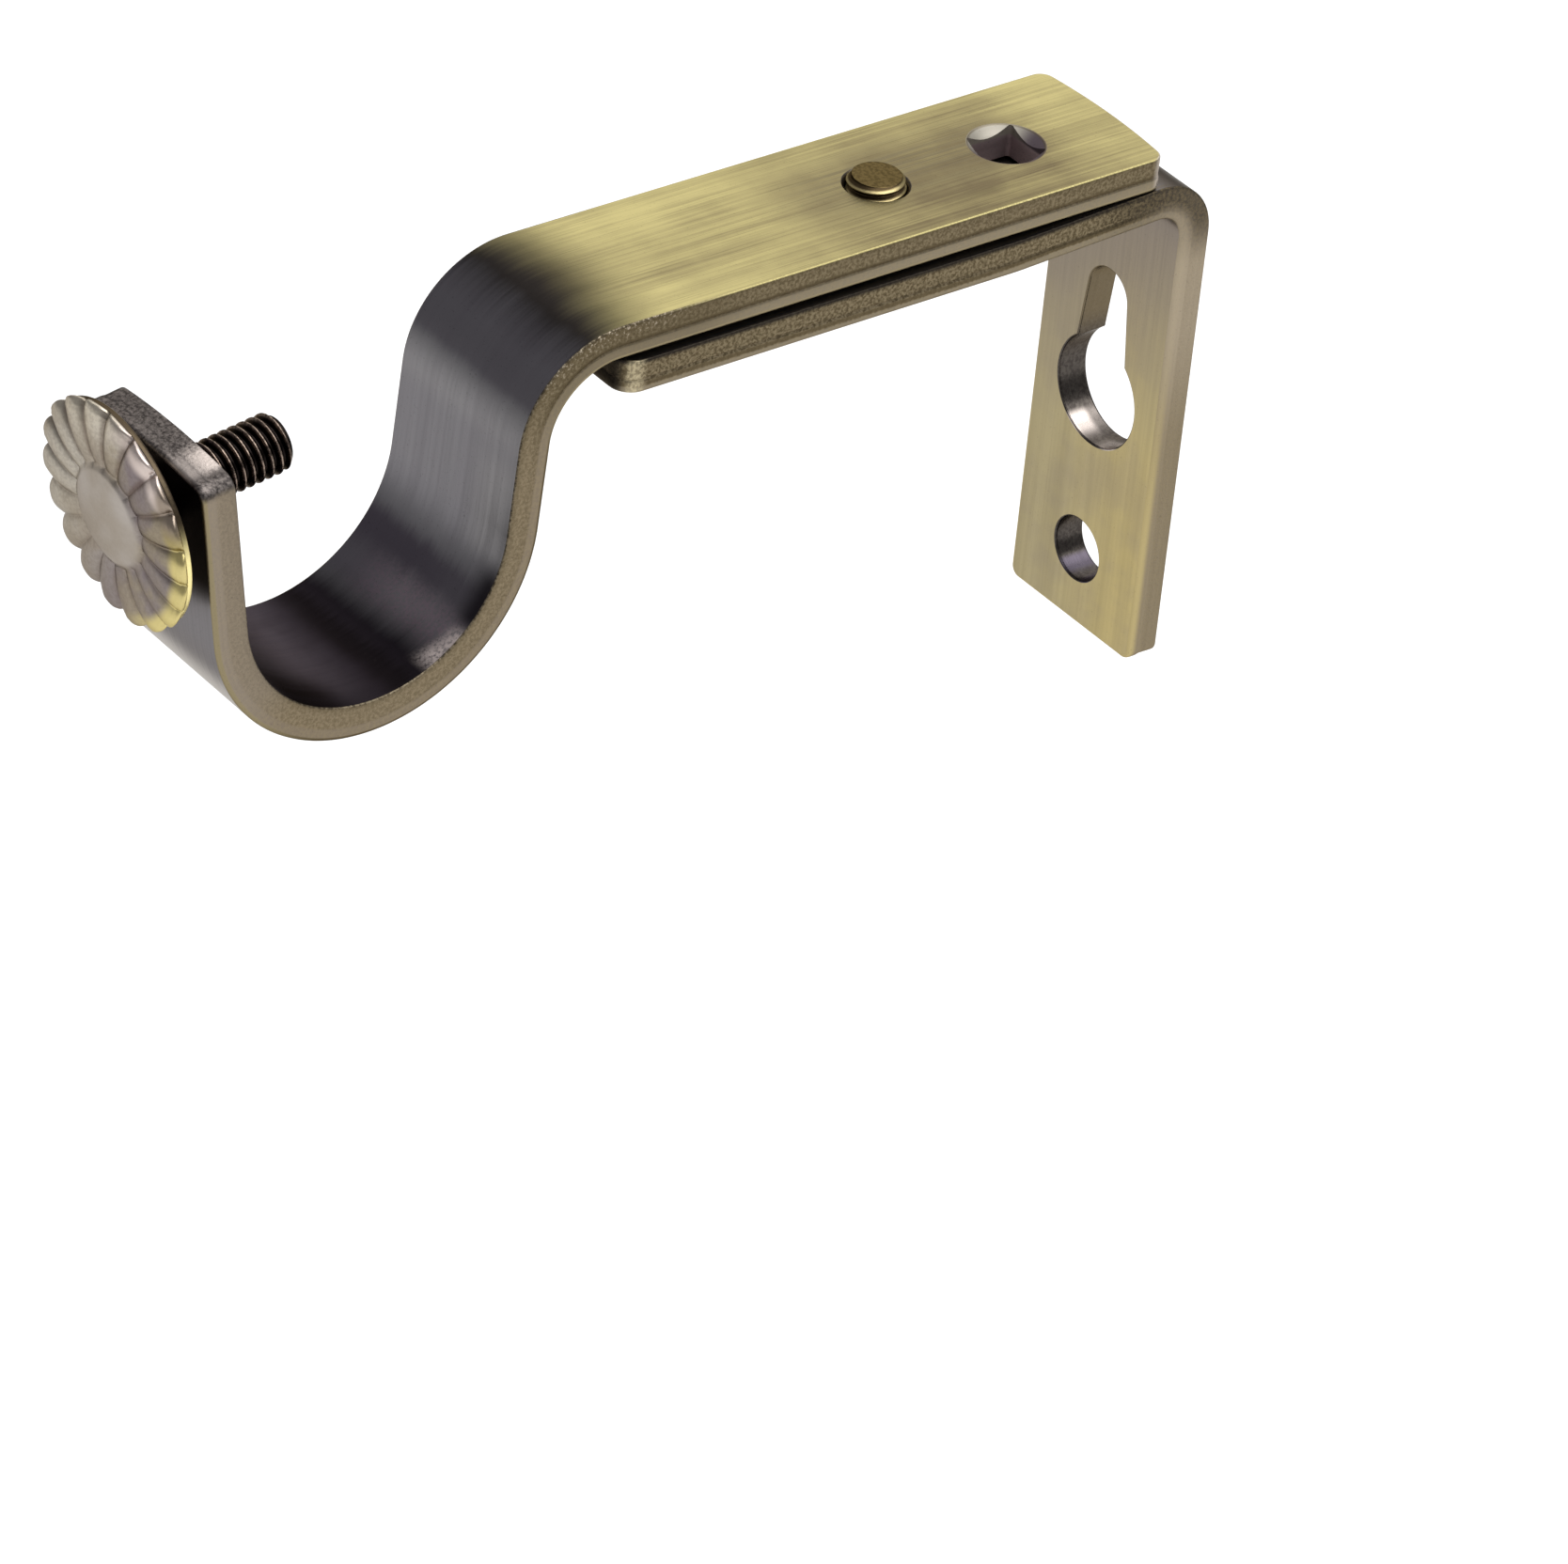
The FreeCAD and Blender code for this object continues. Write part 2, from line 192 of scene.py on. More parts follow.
def bent_path(y, z, heading, steps):
    """Middle line of a bent strap in the YZ plane as rows of s, y, z, heading and curvature.

    A step is (length, turn in radians): straight where the turn is 0, or else an arc of length / turn.
    """
    rows = []
    s = 0.0
    for length, turn in steps:
        bend = turn / length
        rows.append((s, y, z, heading, bend))
        if turn:
            y += (math.sin(heading + turn) - math.sin(heading)) / bend
            z -= (math.cos(heading + turn) - math.cos(heading)) / bend
        else:
            y += length * math.cos(heading)
            z += length * math.sin(heading)
        heading += turn
        s += length
    rows.append((s, y, z, heading, 0.0))
    return np.array(rows)


def lay_along(path, flat, normals):
    """Bend a flat strap: each point (s, x, n) goes to the middle line's point at s, plus x across the
    strap, plus n along the line's left normal. Its normal's parts turn with the same three directions.
    """
    s = flat[..., 0]
    row = path[np.clip(np.searchsorted(path[:, 0], s, side="right") - 1, 0, len(path) - 1)]
    ds = s - row[..., 0]
    h0 = row[..., 3]
    h1 = h0 + ds * row[..., 4]
    level = row[..., 4] == 0.0
    bend = np.where(level, 1.0, row[..., 4])
    y = row[..., 1] + np.where(level, ds * np.cos(h0), (np.sin(h1) - np.sin(h0)) / bend)
    z = row[..., 2] + np.where(level, ds * np.sin(h0), (np.cos(h0) - np.cos(h1)) / bend)
    n, c, d = flat[..., 2], np.cos(h1), np.sin(h1)
    ns, nx, nn = (normals[..., k] for k in range(3))
    return join(flat[..., 1], y - n * d, z + n * c), unit(join(nx, ns * c - nn * d, ns * d + nn * c))


# Meshes from grids

def into_scene(name, data):
    """Object with the data, linked into the scene."""
    obj = bpy.data.objects.new(name, data)
    bpy.context.scene.collection.objects.link(obj)
    return obj


def mesh_object(name, patches, body, replaced):
    """One closed mesh from grids of points that share their borders.

    A patch is (points, normals, uv) on one grid. Each cell is a quad, points closer than a micrometre are
    one vertex, cells without area are dropped, and a patch is turned over where its cells face against
    its normals. The normals become the corners' own.
    """
    grids = ([], [], [])
    for patch in patches:
        cells = [[g[:-1, :-1], g[1:, :-1], g[1:, 1:], g[:-1, 1:]] for g in patch]
        a, m, _ = cells
        faces_out = (np.cross(a[2] - a[0], a[3] - a[1]) * (m[0] + m[1] + m[2] + m[3])).sum() > 0
        order = (0, 1, 2, 3) if faces_out else (3, 2, 1, 0)
        for grid, cell in zip(grids, cells):
            grid.append(np.stack([cell[k] for k in order], 2).reshape(-1, 4, cell[0].shape[-1]))
    corners, corner_normals, corner_uv = (np.concatenate(grid) for grid in grids)
    keys = np.round(corners.reshape(-1, 3) * 1000.0).astype(np.int64)
    first, index = np.unique(keys, axis=0, return_index=True, return_inverse=True)[1:]
    quads = index.reshape(-1, 4)
    same = quads == np.roll(quads, -1, axis=1)
    crossed = (quads[:, 0] == quads[:, 2]) | (quads[:, 1] == quads[:, 3])
    keep = (same.sum(1) < 2) & ~crossed
    quads, used = quads[keep], ~same[keep]
    sizes = used.sum(1)
    loops = quads[used]
    starts = np.concatenate([[0], np.cumsum(sizes)[:-1]])
    points = corners.reshape(-1, 3)[first] * MM

    mesh = bpy.data.meshes.new(name)
    mesh.vertices.add(len(points))
    mesh.vertices.foreach_set("co", points.astype(np.float32).ravel())
    mesh.loops.add(len(loops))
    mesh.loops.foreach_set("vertex_index", loops.astype(np.int32))
    mesh.polygons.add(len(sizes))
    mesh.polygons.foreach_set("loop_start", starts.astype(np.int32))
    mesh.polygons.foreach_set("loop_total", sizes.astype(np.int32))
    layer = mesh.uv_layers.new(name="along")
    layer.data.foreach_set("uv", corner_uv[keep][used].astype(np.float32).ravel())
    mesh.update(calc_edges=True)
    mesh.polygons.foreach_set("use_smooth", np.ones(len(sizes), dtype=bool))
    mesh.normals_split_custom_set(unit(corner_normals[keep][used]))
    obj = into_scene(name, mesh)
    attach(obj, body)
    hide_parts(*replaced)
    return obj


# Holes and ends in the flat strap, in its coordinates: s along the path and x across

def corner_spans(u_dense, border, n_long, n_short):
    """Outline parameters whose rays meet the cell's border, with one at each of its four corners.

    border is the dense unwrapped border coordinate, 0 to 4 counter-clockwise from (s0, -w): long
    side, short side, long side, short side.
    """
    low = math.ceil(border[0] - 1e-9)
    at = np.interp(np.arange(low, low + 5), np.append(border, border[1:] + 4.0),
                   np.append(u_dense, u_dense[1:] + 1.0))
    spans = []
    for k in range(4):
        count = n_long if (low + k) % 2 == 0 else n_short
        spans.append(np.linspace(at[k], at[k + 1], count + 1)[:-1])
    return np.concatenate(spans), low


def ray_border(points, angle, s0, s1, half):
    """Where the ray from each point at its angle leaves the rectangle s0..s1 by -half..half.

    Gives the meeting points and their border coordinate, 0 to 4 counter-clockwise from (s0, -half).
    """
    way = join(np.cos(angle), np.sin(angle))
    with np.errstate(divide="ignore", invalid="ignore"):
        reach = (np.where(way > 0.0, (s1, half), (s0, -half)) - points) / way
    reach = np.where(np.abs(way) > NO_SLOPE, reach, FAR)
    hit = points + way * reach.min(axis=-1, keepdims=True)
    along = (hit[:, 0] - s0) / (s1 - s0)
    across = (hit[:, 1] + half) / (2.0 * half)
    side = np.where(reach[:, 1] < reach[:, 0], np.where(way[:, 1] < 0.0, along, 3.0 - along),
                    np.where(way[:, 0] > 0.0, 1.0 + across, 4.0 - across))
    return hit, side


def hole(outline, s0, s1, n_long, rings):
    """A hole in the cell s0..s1 of a strap.

    outline(u) gives points, ray angles and creases, u being 0 to 1 counter-clockwise; rings(points,
    inward) gives the wall's patches as (flat points, flat normals) from outer to inner face.
    """
    dense = np.linspace(0.0, 1.0, OUTLINE_STEPS + 1)
    points, angle, creases = outline(dense)
    border = np.unwrap(ray_border(points, angle, s0, s1, REF_HALF)[1], period=4.0)
    u, low = corner_spans(dense, border, n_long, ACROSS - 1)
    for crease in creases:
        gap = np.abs((u - crease + 0.5) % 1.0 - 0.5)
        u[np.argmin(gap)] = crease
    u = u % 1.0
    points, angle, _ = outline(u)
    hit = ray_border(points, angle, s0, s1, REF_HALF)[0]
    counts = [n_long if (low + k) % 2 == 0 else ACROSS - 1 for k in range(4)]
    corner_at = np.cumsum([0] + counts[:-1])
    for k, i in enumerate(corner_at):
        c = (low + k) % 4
        hit[i] = (s0 if c in (0, 3) else s1, -REF_HALF if c in (0, 1) else REF_HALF)
    along = unit(outline((u + OUTLINE_NUDGE) % 1.0)[0] - outline((u - OUTLINE_NUDGE) % 1.0)[0])
    inward = np.stack([-along[:, 1], along[:, 0]], -1)
    roll = -corner_at[(-low) % 4]
    points, hit, inward = (np.roll(a, roll, axis=0) for a in (points, hit, inward))
    points, hit, inward = (np.append(a, a[:1], axis=0) for a in (points, hit, inward))
    return {"s0": s0, "s1": s1, "n_long": n_long, "hit": hit, "walls": rings(points, inward)}


def circle(s, radius):
    """Circle about (s, 0): points at the angle 2 pi u, with rays straight out."""
    def outline(u):
        angle = 2.0 * math.pi * u
        return join(s + radius * np.cos(angle), radius * np.sin(angle)), angle, ()
    return outline


def rounded_square(s, half, corner):
    """Square about (s, 0) with round corners: at each angle, the ray's length to its side or, near a
    corner, to the corner's circle.
    """
    def outline(u):
        angle = 2.0 * math.pi * u
        c, d = np.abs(np.cos(angle)), np.abs(np.sin(angle))
        to_side = half / np.maximum(c, d)
        inner = half - corner
        a = inner * (c + d)
        to_corner = a + np.sqrt(np.maximum(a * a - 2.0 * inner * inner + corner * corner, 0.0))
        reach = np.where(to_side * np.minimum(c, d) > inner, to_corner, to_side)
        return join(s + reach * np.cos(angle), reach * np.sin(angle)), angle, ()
    return outline


def arcs_and_sides(pieces):
    """Closed outline from pieces in counter-clockwise order, u being the share of its whole length.

    A piece is (start, end, centre, radius, from angle, to angle, first ray, last ray); a straight one has
    no centre. Places and rays change evenly along each piece, and each piece starts at a crease.
    """
    lengths = []
    for start, end, centre, radius, a0, a1, r0, r1 in pieces:
        lengths.append(radius * (a1 - a0) if centre is not None else math.dist(start, end))
    ends = np.cumsum(lengths) / sum(lengths)
    starts = np.concatenate([[0.0], ends[:-1]])

    def outline(u):
        u = np.mod(u, 1.0 + 1e-12)
        points = np.zeros(u.shape + (2,))
        rays = np.zeros(u.shape)
        for (start, end, centre, radius, a0, a1, r0, r1), low, high in zip(pieces, starts, ends):
            here = (u >= low - 1e-12) & (u <= high + 1e-12)
            share = (u[here] - low) / (high - low)
            if centre is None:
                points[here] = np.array(start) + share[:, None] * (np.array(end) - np.array(start))
            else:
                angle = a0 + share * (a1 - a0)
                points[here] = np.array(centre) + radius * join(np.cos(angle), np.sin(angle))
            rays[here] = r0 + share * (r1 - r0)
        return points, rays, tuple(starts)
    return outline


def stadium(s0, s1, radius):
    """Long slot with half-round ends about (s0, 0) and (s1, 0)."""
    q = math.pi / 2.0
    return arcs_and_sides([
        (None, None, (s1, 0.0), radius, -q, q, -q, q),
        ((s1, radius), (s0, radius), None, 0, 0, 0, q, q),
        (None, None, (s0, 0.0), radius, q, 3 * q, q, 3 * q),
        ((s0, -radius), (s1, -radius), None, 0, 0, 0, 3 * q, 3 * q),
    ])


def keyhole(s_entry, s_top):
    """Round entry about (s_entry, 0) and the tapered slot that ends round at s_top."""
    q = math.pi / 2.0
    arc_s = s_top - KEY_SLOT_R
    join_s = s_entry + math.sqrt(KEY_R ** 2 - KEY_JOIN_HALF ** 2)
    taper = math.atan2(KEY_JOIN_HALF - KEY_SLOT_R, arc_s - join_s)
    a = q - taper
    side = (arc_s + KEY_SLOT_R * math.cos(a), KEY_SLOT_R * math.sin(a))
    meet = math.atan2(KEY_JOIN_HALF, join_s - s_entry)
    return arcs_and_sides([
        (None, None, (arc_s, 0.0), KEY_SLOT_R, -a, a, -a, a),
        (side, (join_s, KEY_JOIN_HALF), None, 0, 0, 0, a, q),
        (None, None, (s_entry, 0.0), KEY_R, meet, 2 * math.pi - meet, q, 3 * q),
        ((join_s, -KEY_JOIN_HALF), (side[0], -side[1]), None, 0, 0, 0, 3 * q, 4 * q - a),
    ])


def wall_rows(points, inward, profile):
    """A hole's wall: for each profile row, the outline moved back by its first number at its height."""
    back, n, into, up = (profile[:, k][:, None] for k in range(4))
    s, x = (points[None, :, k] - back * inward[None, :, k] for k in range(2))
    return join(s, x, n), unit(join(into * inward[None, :, 0], into * inward[None, :, 1], up))


def straight(profile):
    """Walls that follow a hole's outline by the rows of the profile."""
    return lambda points, inward: [wall_rows(points, inward, profile)]


def countersunk(points, inward):
    """Square hole under a shallow round countersink.

    At each angle the cone falls from the circle BOLT_SINK_R by 1 / BOLT_SINK_SLOPE for each millimetre
    inward, as far as the square; the square's wall goes down from there.
    """
    out = unit(points - (BOLT_HOLE_S, 0.0))
    reach = np.minimum(np.linalg.norm(points - (BOLT_HOLE_S, 0.0), axis=-1), BOLT_SINK_R - 0.02)
    steep = math.hypot(1.0, BOLT_SINK_SLOPE)
    rows = [(BOLT_SINK_R + 0.09, -HALF_T, 0.0, -1.0), (BOLT_SINK_R + 0.03, -HALF_T + 0.015, 0.3, -0.95)]
    for share in np.linspace(0.0, 1.0, 6):
        radius = (BOLT_SINK_R - 0.01) + share * (reach - BOLT_SINK_R + 0.01)
        n = -HALF_T + (BOLT_SINK_R - radius) / BOLT_SINK_SLOPE
        rows.append((radius, n, 1.0 / steep, -BOLT_SINK_SLOPE / steep))
    cone = np.array([join(BOLT_HOLE_S + out[:, 0] * radius, out[:, 1] * radius, n) for radius, n, _, _ in rows])
    cone_normals = np.array([join(-out[:, 0] * into, -out[:, 1] * into, up) for _, _, into, up in rows])
    wall, wall_normals = wall_rows(points, inward, PUNCHED[3:])
    depth = wall[4, :, 2] - cone[-1, :, 2]
    for row, share in ((1, 0.35), (2, 0.65), (3, 0.9)):
        wall[row] = join(points[:, 0], points[:, 1], cone[-1, :, 2] + share * depth)
    wall[0] = cone[-1]
    return [(cone, unit(cone_normals)), (wall, wall_normals)]


def end_curve(sag, corner):
    """Outline across a strap's end from x = -HALF_W to HALF_W, with its outward normals.

    Round corners join the sides to a crown that falls by sag at the sides, or to a straight edge where
    sag is 0. The first coordinate is 0 at the end's middle and negative toward the strap.
    """
    inner = HALF_W - corner
    if sag:
        big = (HALF_W ** 2 + sag ** 2) / (2.0 * sag)
        v = math.sqrt((big - corner) ** 2 - inner ** 2) - big
        tilt = math.acos(inner / (big - corner))
    else:
        v = -corner
        tilt = math.pi / 2.0
    few = 10
    a = np.linspace(0.0, tilt, few)[:-1]
    corner_points = join(v + corner * np.sin(a), inner + corner * np.cos(a))
    corner_normals = join(np.sin(a), np.cos(a))
    if sag:
        b = np.linspace(tilt, math.pi - tilt, ACROSS - 2 * (few - 1))
        crown, crown_normals = join(big * np.sin(b) - big, big * np.cos(b)), join(np.sin(b), np.cos(b))
    else:
        x = np.linspace(inner, -inner, ACROSS - 2 * (few - 1))
        crown, crown_normals = join(0.0, x), join(1.0, 0.0 * x)
    flip = np.array([1.0, -1.0])
    points = np.concatenate([corner_points * flip, crown[::-1], corner_points[::-1]])
    normals = np.concatenate([corner_normals * flip, crown_normals[::-1], corner_normals[::-1]])
    return points, normals, v


def strap_patches(path, first, last, holes, stepped):
    """Grids of a bent strap: its two faces, its holes' walls and the sheared edge all round.

    Each face is a row of cells: an end, plain cells with straight columns, cells with a ring of quads
    from their border to a hole, and the other end. The edge is SHEARED carried round the outline, with
    its step faded out where stepped(s) falls from 1 to 0.
    """
    length = path[-1, 0]
    lead = 0.8
    first_points, first_normals, first_v = end_curve(*first)
    last_points, last_normals, last_v = end_curve(*last)
    first_points = first_points * (-1.0, 1.0)
    first_normals = first_normals * (-1.0, 1.0)
    last_points = last_points + (length, 0.0)
    start = lead - first_v
    stop = length + last_v - lead
    shares = np.linspace(0.0, 1.0, 6)

    def stations(s0, s1):
        """Places along a plain cell: close together in the bends and further apart on the flats."""
        marks = np.unique(np.concatenate([[s0, s1], path[(path[:, 0] > s0) & (path[:, 0] < s1), 0]]))
        out = [marks[:1]]
        for a, b in zip(marks, marks[1:]):
            bend = abs(path[np.searchsorted(path[:, 0], (a + b) / 2.0) - 1, 4])
            step = 0.35 if bend > 0.05 else 1.2
            out.append(np.linspace(a, b, max(2, math.ceil((b - a) / step) + 1))[1:])
        return np.concatenate(out)

    patches, cells = [], []
    sides = {-1: [shares * lead - first_v], 1: [shares * lead - first_v]}
    at = start
    for h in holes + [None]:
        until = h["s0"] if h else stop
        if until - at > 1e-6:
            s = stations(at, until)
            cells.append(("plain", s))
            for side in sides:
                sides[side].append(s[1:])
        if h:
            cells.append(("hole", h))
            n = h["n_long"]
            sides[-1].append(h["hit"][1:n + 1, 0])
            sides[1].append(h["hit"][n + ACROSS - 1:2 * n + ACROSS, 0][::-1][1:])
            at = h["s1"]
    for side in sides:
        sides[side].append((stop + shares * lead)[1:])
        sides[side] = np.concatenate(sides[side])

    def add(flat, normals, uv):
        patches.append(lay_along(path, flat, normals) + (uv,))

    def add_face(flat, n):
        normals = np.zeros_like(flat)
        normals[..., 2] = math.copysign(1.0, n)
        add(flat, normals, flat[..., :2] + (0.0, INNER_UV if n > 0 else 0.0))

    for face_row, n in ((0, -HALF_T), (-1, HALF_T)):
        inset = SHEARED[face_row, 0]
        half = HALF_W - inset
        first_inner = first_points - inset * first_normals
        last_inner = last_points - inset * last_normals

        def border_x(index, after):
            """The x of the samples on the line before or after cell number index."""
            k = index + (1 if after else -1)
            if k < 0:
                return first_inner[:, 1]
            if k >= len(cells):
                return last_inner[:, 1]
            x, m = cells[k][1]["hit"][:, 1] * (half / REF_HALF), cells[k][1]["n_long"]
            return x[2 * m + ACROSS - 1:2 * m + 2 * ACROSS - 1][::-1] if after else x[m:m + ACROSS]

        edge, base = (join(s, first_inner[:, 1], n) for s in (first_inner[:, 0], start))
        add_face(blend(edge, base, shares), n)
        for i, (kind, cell) in enumerate(cells):
            if kind == "plain":
                x0, x1 = border_x(i, False), border_x(i, True)
                share = ((cell - cell[0]) / (cell[-1] - cell[0]))[:, None]
                add_face(join(cell[:, None], x0 + share * (x1 - x0), n), n)
            else:
                border = join(cell["hit"][:, 0], cell["hit"][:, 1] * (half / REF_HALF), n)
                wall = cell["walls"][face_row][0][face_row]
                add_face(blend(border, wall, np.linspace(0.0, 1.0, 5)), n)
        base, edge = (join(s, last_inner[:, 1], n) for s in (stop, last_inner[:, 0]))
        add_face(blend(base, edge, shares), n)

    for kind, cell in cells:
        if kind == "hole":
            for flat, normals in cell["walls"]:
                add(flat, normals, join(flat[..., 0], WALL_UV + flat[..., 2]))

    near = join(sides[-1], -HALF_W)
    far = join(sides[1], HALF_W)[::-1]
    outline = np.concatenate([near, last_points[1:], far[1:], first_points[::-1][1:]])
    out = np.concatenate([np.tile([0.0, -1.0], (len(near), 1)), last_normals[1:],
                          np.tile([0.0, 1.0], (len(far) - 1, 1)), first_normals[::-1][1:]])
    step = stepped(outline[:, 0])[None, :, None]
    edge = step * SHEARED[:, None] + (1.0 - step) * PLAIN_EDGE[:, None]
    inset, n, outward, up = (edge[..., k] for k in range(4))
    s, x = (outline[:, k] - inset * out[:, k] for k in range(2))
    normals = unit(join(outward * out[:, 0], outward * out[:, 1], up))
    add(join(s, x, n), normals, join(s, SIDE_UV + n))
    return patches


# Turned pieces

def round_normals(points):
    """Normals of a grid that closes on itself along its columns: the cross product of the differences
    between each point's neighbours. A row that has shrunk to a point takes its neighbour row's mean.
    """
    down = np.gradient(points, axis=0)
    around = np.roll(points[:, :-1], -1, axis=1) - np.roll(points[:, :-1], 1, axis=1)
    around = np.concatenate([around, around[:, :1]], axis=1)
    normals = np.cross(down, around)
    length = np.linalg.norm(normals, axis=-1, keepdims=True)
    small = (length < 1e-9)[..., 0].all(axis=1)
    normals = normals / np.maximum(length, 1e-12)
    for row in np.nonzero(small)[0]:
        normals[row] = normals[1 if row == 0 else row - 1, :-1].mean(axis=0)
    return unit(normals)


def turned(r, angle, t, along, origin, axes):
    """Patch of a turned piece: points at radius r and angle about an axis and t along it, which is the
    origin plus the three directions' parts. Its UV map holds the angle and along.
    """
    grid = sum(part[..., None] * np.array(axis, float)
               for part, axis in zip((r * np.cos(angle), r * np.sin(angle), t), axes)) + origin
    return grid, round_normals(grid), join(angle, along)


def thread_radius(t, angle, radius, depth, tip, end, chamfer):
    """Radius of a right-hand thread: full at the crest and less by a V of the given depth, which runs
    round once for each pitch, and no more than the cone that chamfers the tip.
    """
    phase = np.mod(t / THREAD_PITCH - angle / (2.0 * math.pi), 1.0)
    valley = 1.0 - np.clip(np.abs(2.0 * phase - 1.0) * 1.6 - 0.35, 0.0, 1.0)
    fade = smooth(0.0, 0.5, np.abs(t - end))
    return np.minimum(radius - depth * valley * fade, radius - chamfer + np.abs(t - tip))


def thumb_thread():
    """Radii, angles and places along the axis of the thumbscrew's thread, from inside the head to its
    chamfered tip.
    """
    angle = np.linspace(0.0, 2.0 * math.pi, TURN + 1)[None]
    t = np.linspace(THREAD_START_T, THUMB_TIP_T, 320)[:, None]
    r = thread_radius(t, angle, SCREW_R, THREAD_DEPTH, THUMB_TIP_T, THREAD_START_T, THREAD_CHAMFER)
    cap = np.zeros_like(r[:1])
    return np.concatenate([cap, r, 0.45 * r[-1:], cap]), angle, np.concatenate([t[:1], t, t[-1:], t[-1:]])


def petal_head():
    """Grid of the head: smooth boss, petals parted by grooves, notched rim, plain ring, dished back.

    With p running from -1 to 1 across each petal, the face falls by the groove's depth times |p|^2.2 and
    the rim draws in by the notch times |p|^3. Both grow outward. The running length goes along a petal's
    middle, from the boss over the rim to the back. The last result marks it at the boss's edge, the
    petals' foot, the rim, and the start and end of the ring.
    """
    angle = np.linspace(0.0, 2.0 * math.pi, PETALS * 24 + 1)[None]
    p = np.abs(np.mod(angle * PETALS / (2.0 * math.pi) + 0.5, 1.0) * 2.0 - 1.0)
    rows = [(r, HEAD_TOP_T - HEAD_BOSS_FALL * (r / HEAD_BOSS_R) ** 2, 0.0, 0.0)
            for r in np.linspace(0.0, BOSS_FLAT_R, 14)]
    edge = len(rows) - 1
    for turn in np.linspace(0.0, 1.0, 9)[1:]:
        fall = 0.215 * (1.0 - math.cos(math.pi * turn)) / 2.0
        r = BOSS_FLAT_R + (PETAL_FOOT_R - BOSS_FLAT_R) * turn
        rows.append((r, rows[edge][1] - 0.06 * turn - fall, 0.0, 0.14 * turn ** 2))
    foot = len(rows) - 1
    for r in np.linspace(4.7, 9.2, 26):
        share = (r - PETAL_FOOT_R) / (HEAD_R - PETAL_FOOT_R)
        t = rows[foot][1] + 0.22 * math.sin(math.pi * min(1.0, 1.12 * share)) ** 0.8 - 0.12 * share ** 3
        rows.append((r, t, 0.50 * share ** 4, 0.14 + 0.44 * share))
    first = len(rows)
    rows += [(9.38, 6.42, 0.50, 0.56), (9.53, 6.36, 0.55, 0.55), (9.62, 6.26, 0.55, 0.50),
             (9.66, 6.13, 0.55, 0.42), (9.63, 5.98, 0.50, 0.30), (9.55, 5.86, 0.34, 0.20),
             (9.45, 5.78, 0.16, 0.11), (9.38, 5.72, 0.05, 0.05)]
    plain = [(9.36, 5.66), (9.36, 5.50), (9.35, 5.34), (9.28, 5.24), (9.16, HEAD_BACK_T), (8.45, HEAD_BACK_T),
             (8.36, 5.22), (8.31, 5.28), (8.27, 5.40), (8.18, 5.47), (8.02, 5.50), (6.0, 5.50), (3.66, 5.50),
             (3.50, 5.47), (3.43, 5.40), (3.40, 5.28), (3.34, 5.22), (3.20, HEAD_BACK_T), (1.6, HEAD_BACK_T),
             (0.0, HEAD_BACK_T)]
    table = np.array(rows + [(r, t, 0.0, 0.0) for r, t in plain])
    r, t, notch, depth = (table[:, k][:, None] for k in range(4))
    length = np.concatenate([[0.0], np.cumsum(np.hypot(np.diff(table[:, 0]), np.diff(table[:, 1])))])
    marks = length[[edge, foot, first, first + 7, first + 11]].tolist()
    return r - notch * p ** 3, angle, t - depth * p ** 2.2, length[:, None], marks


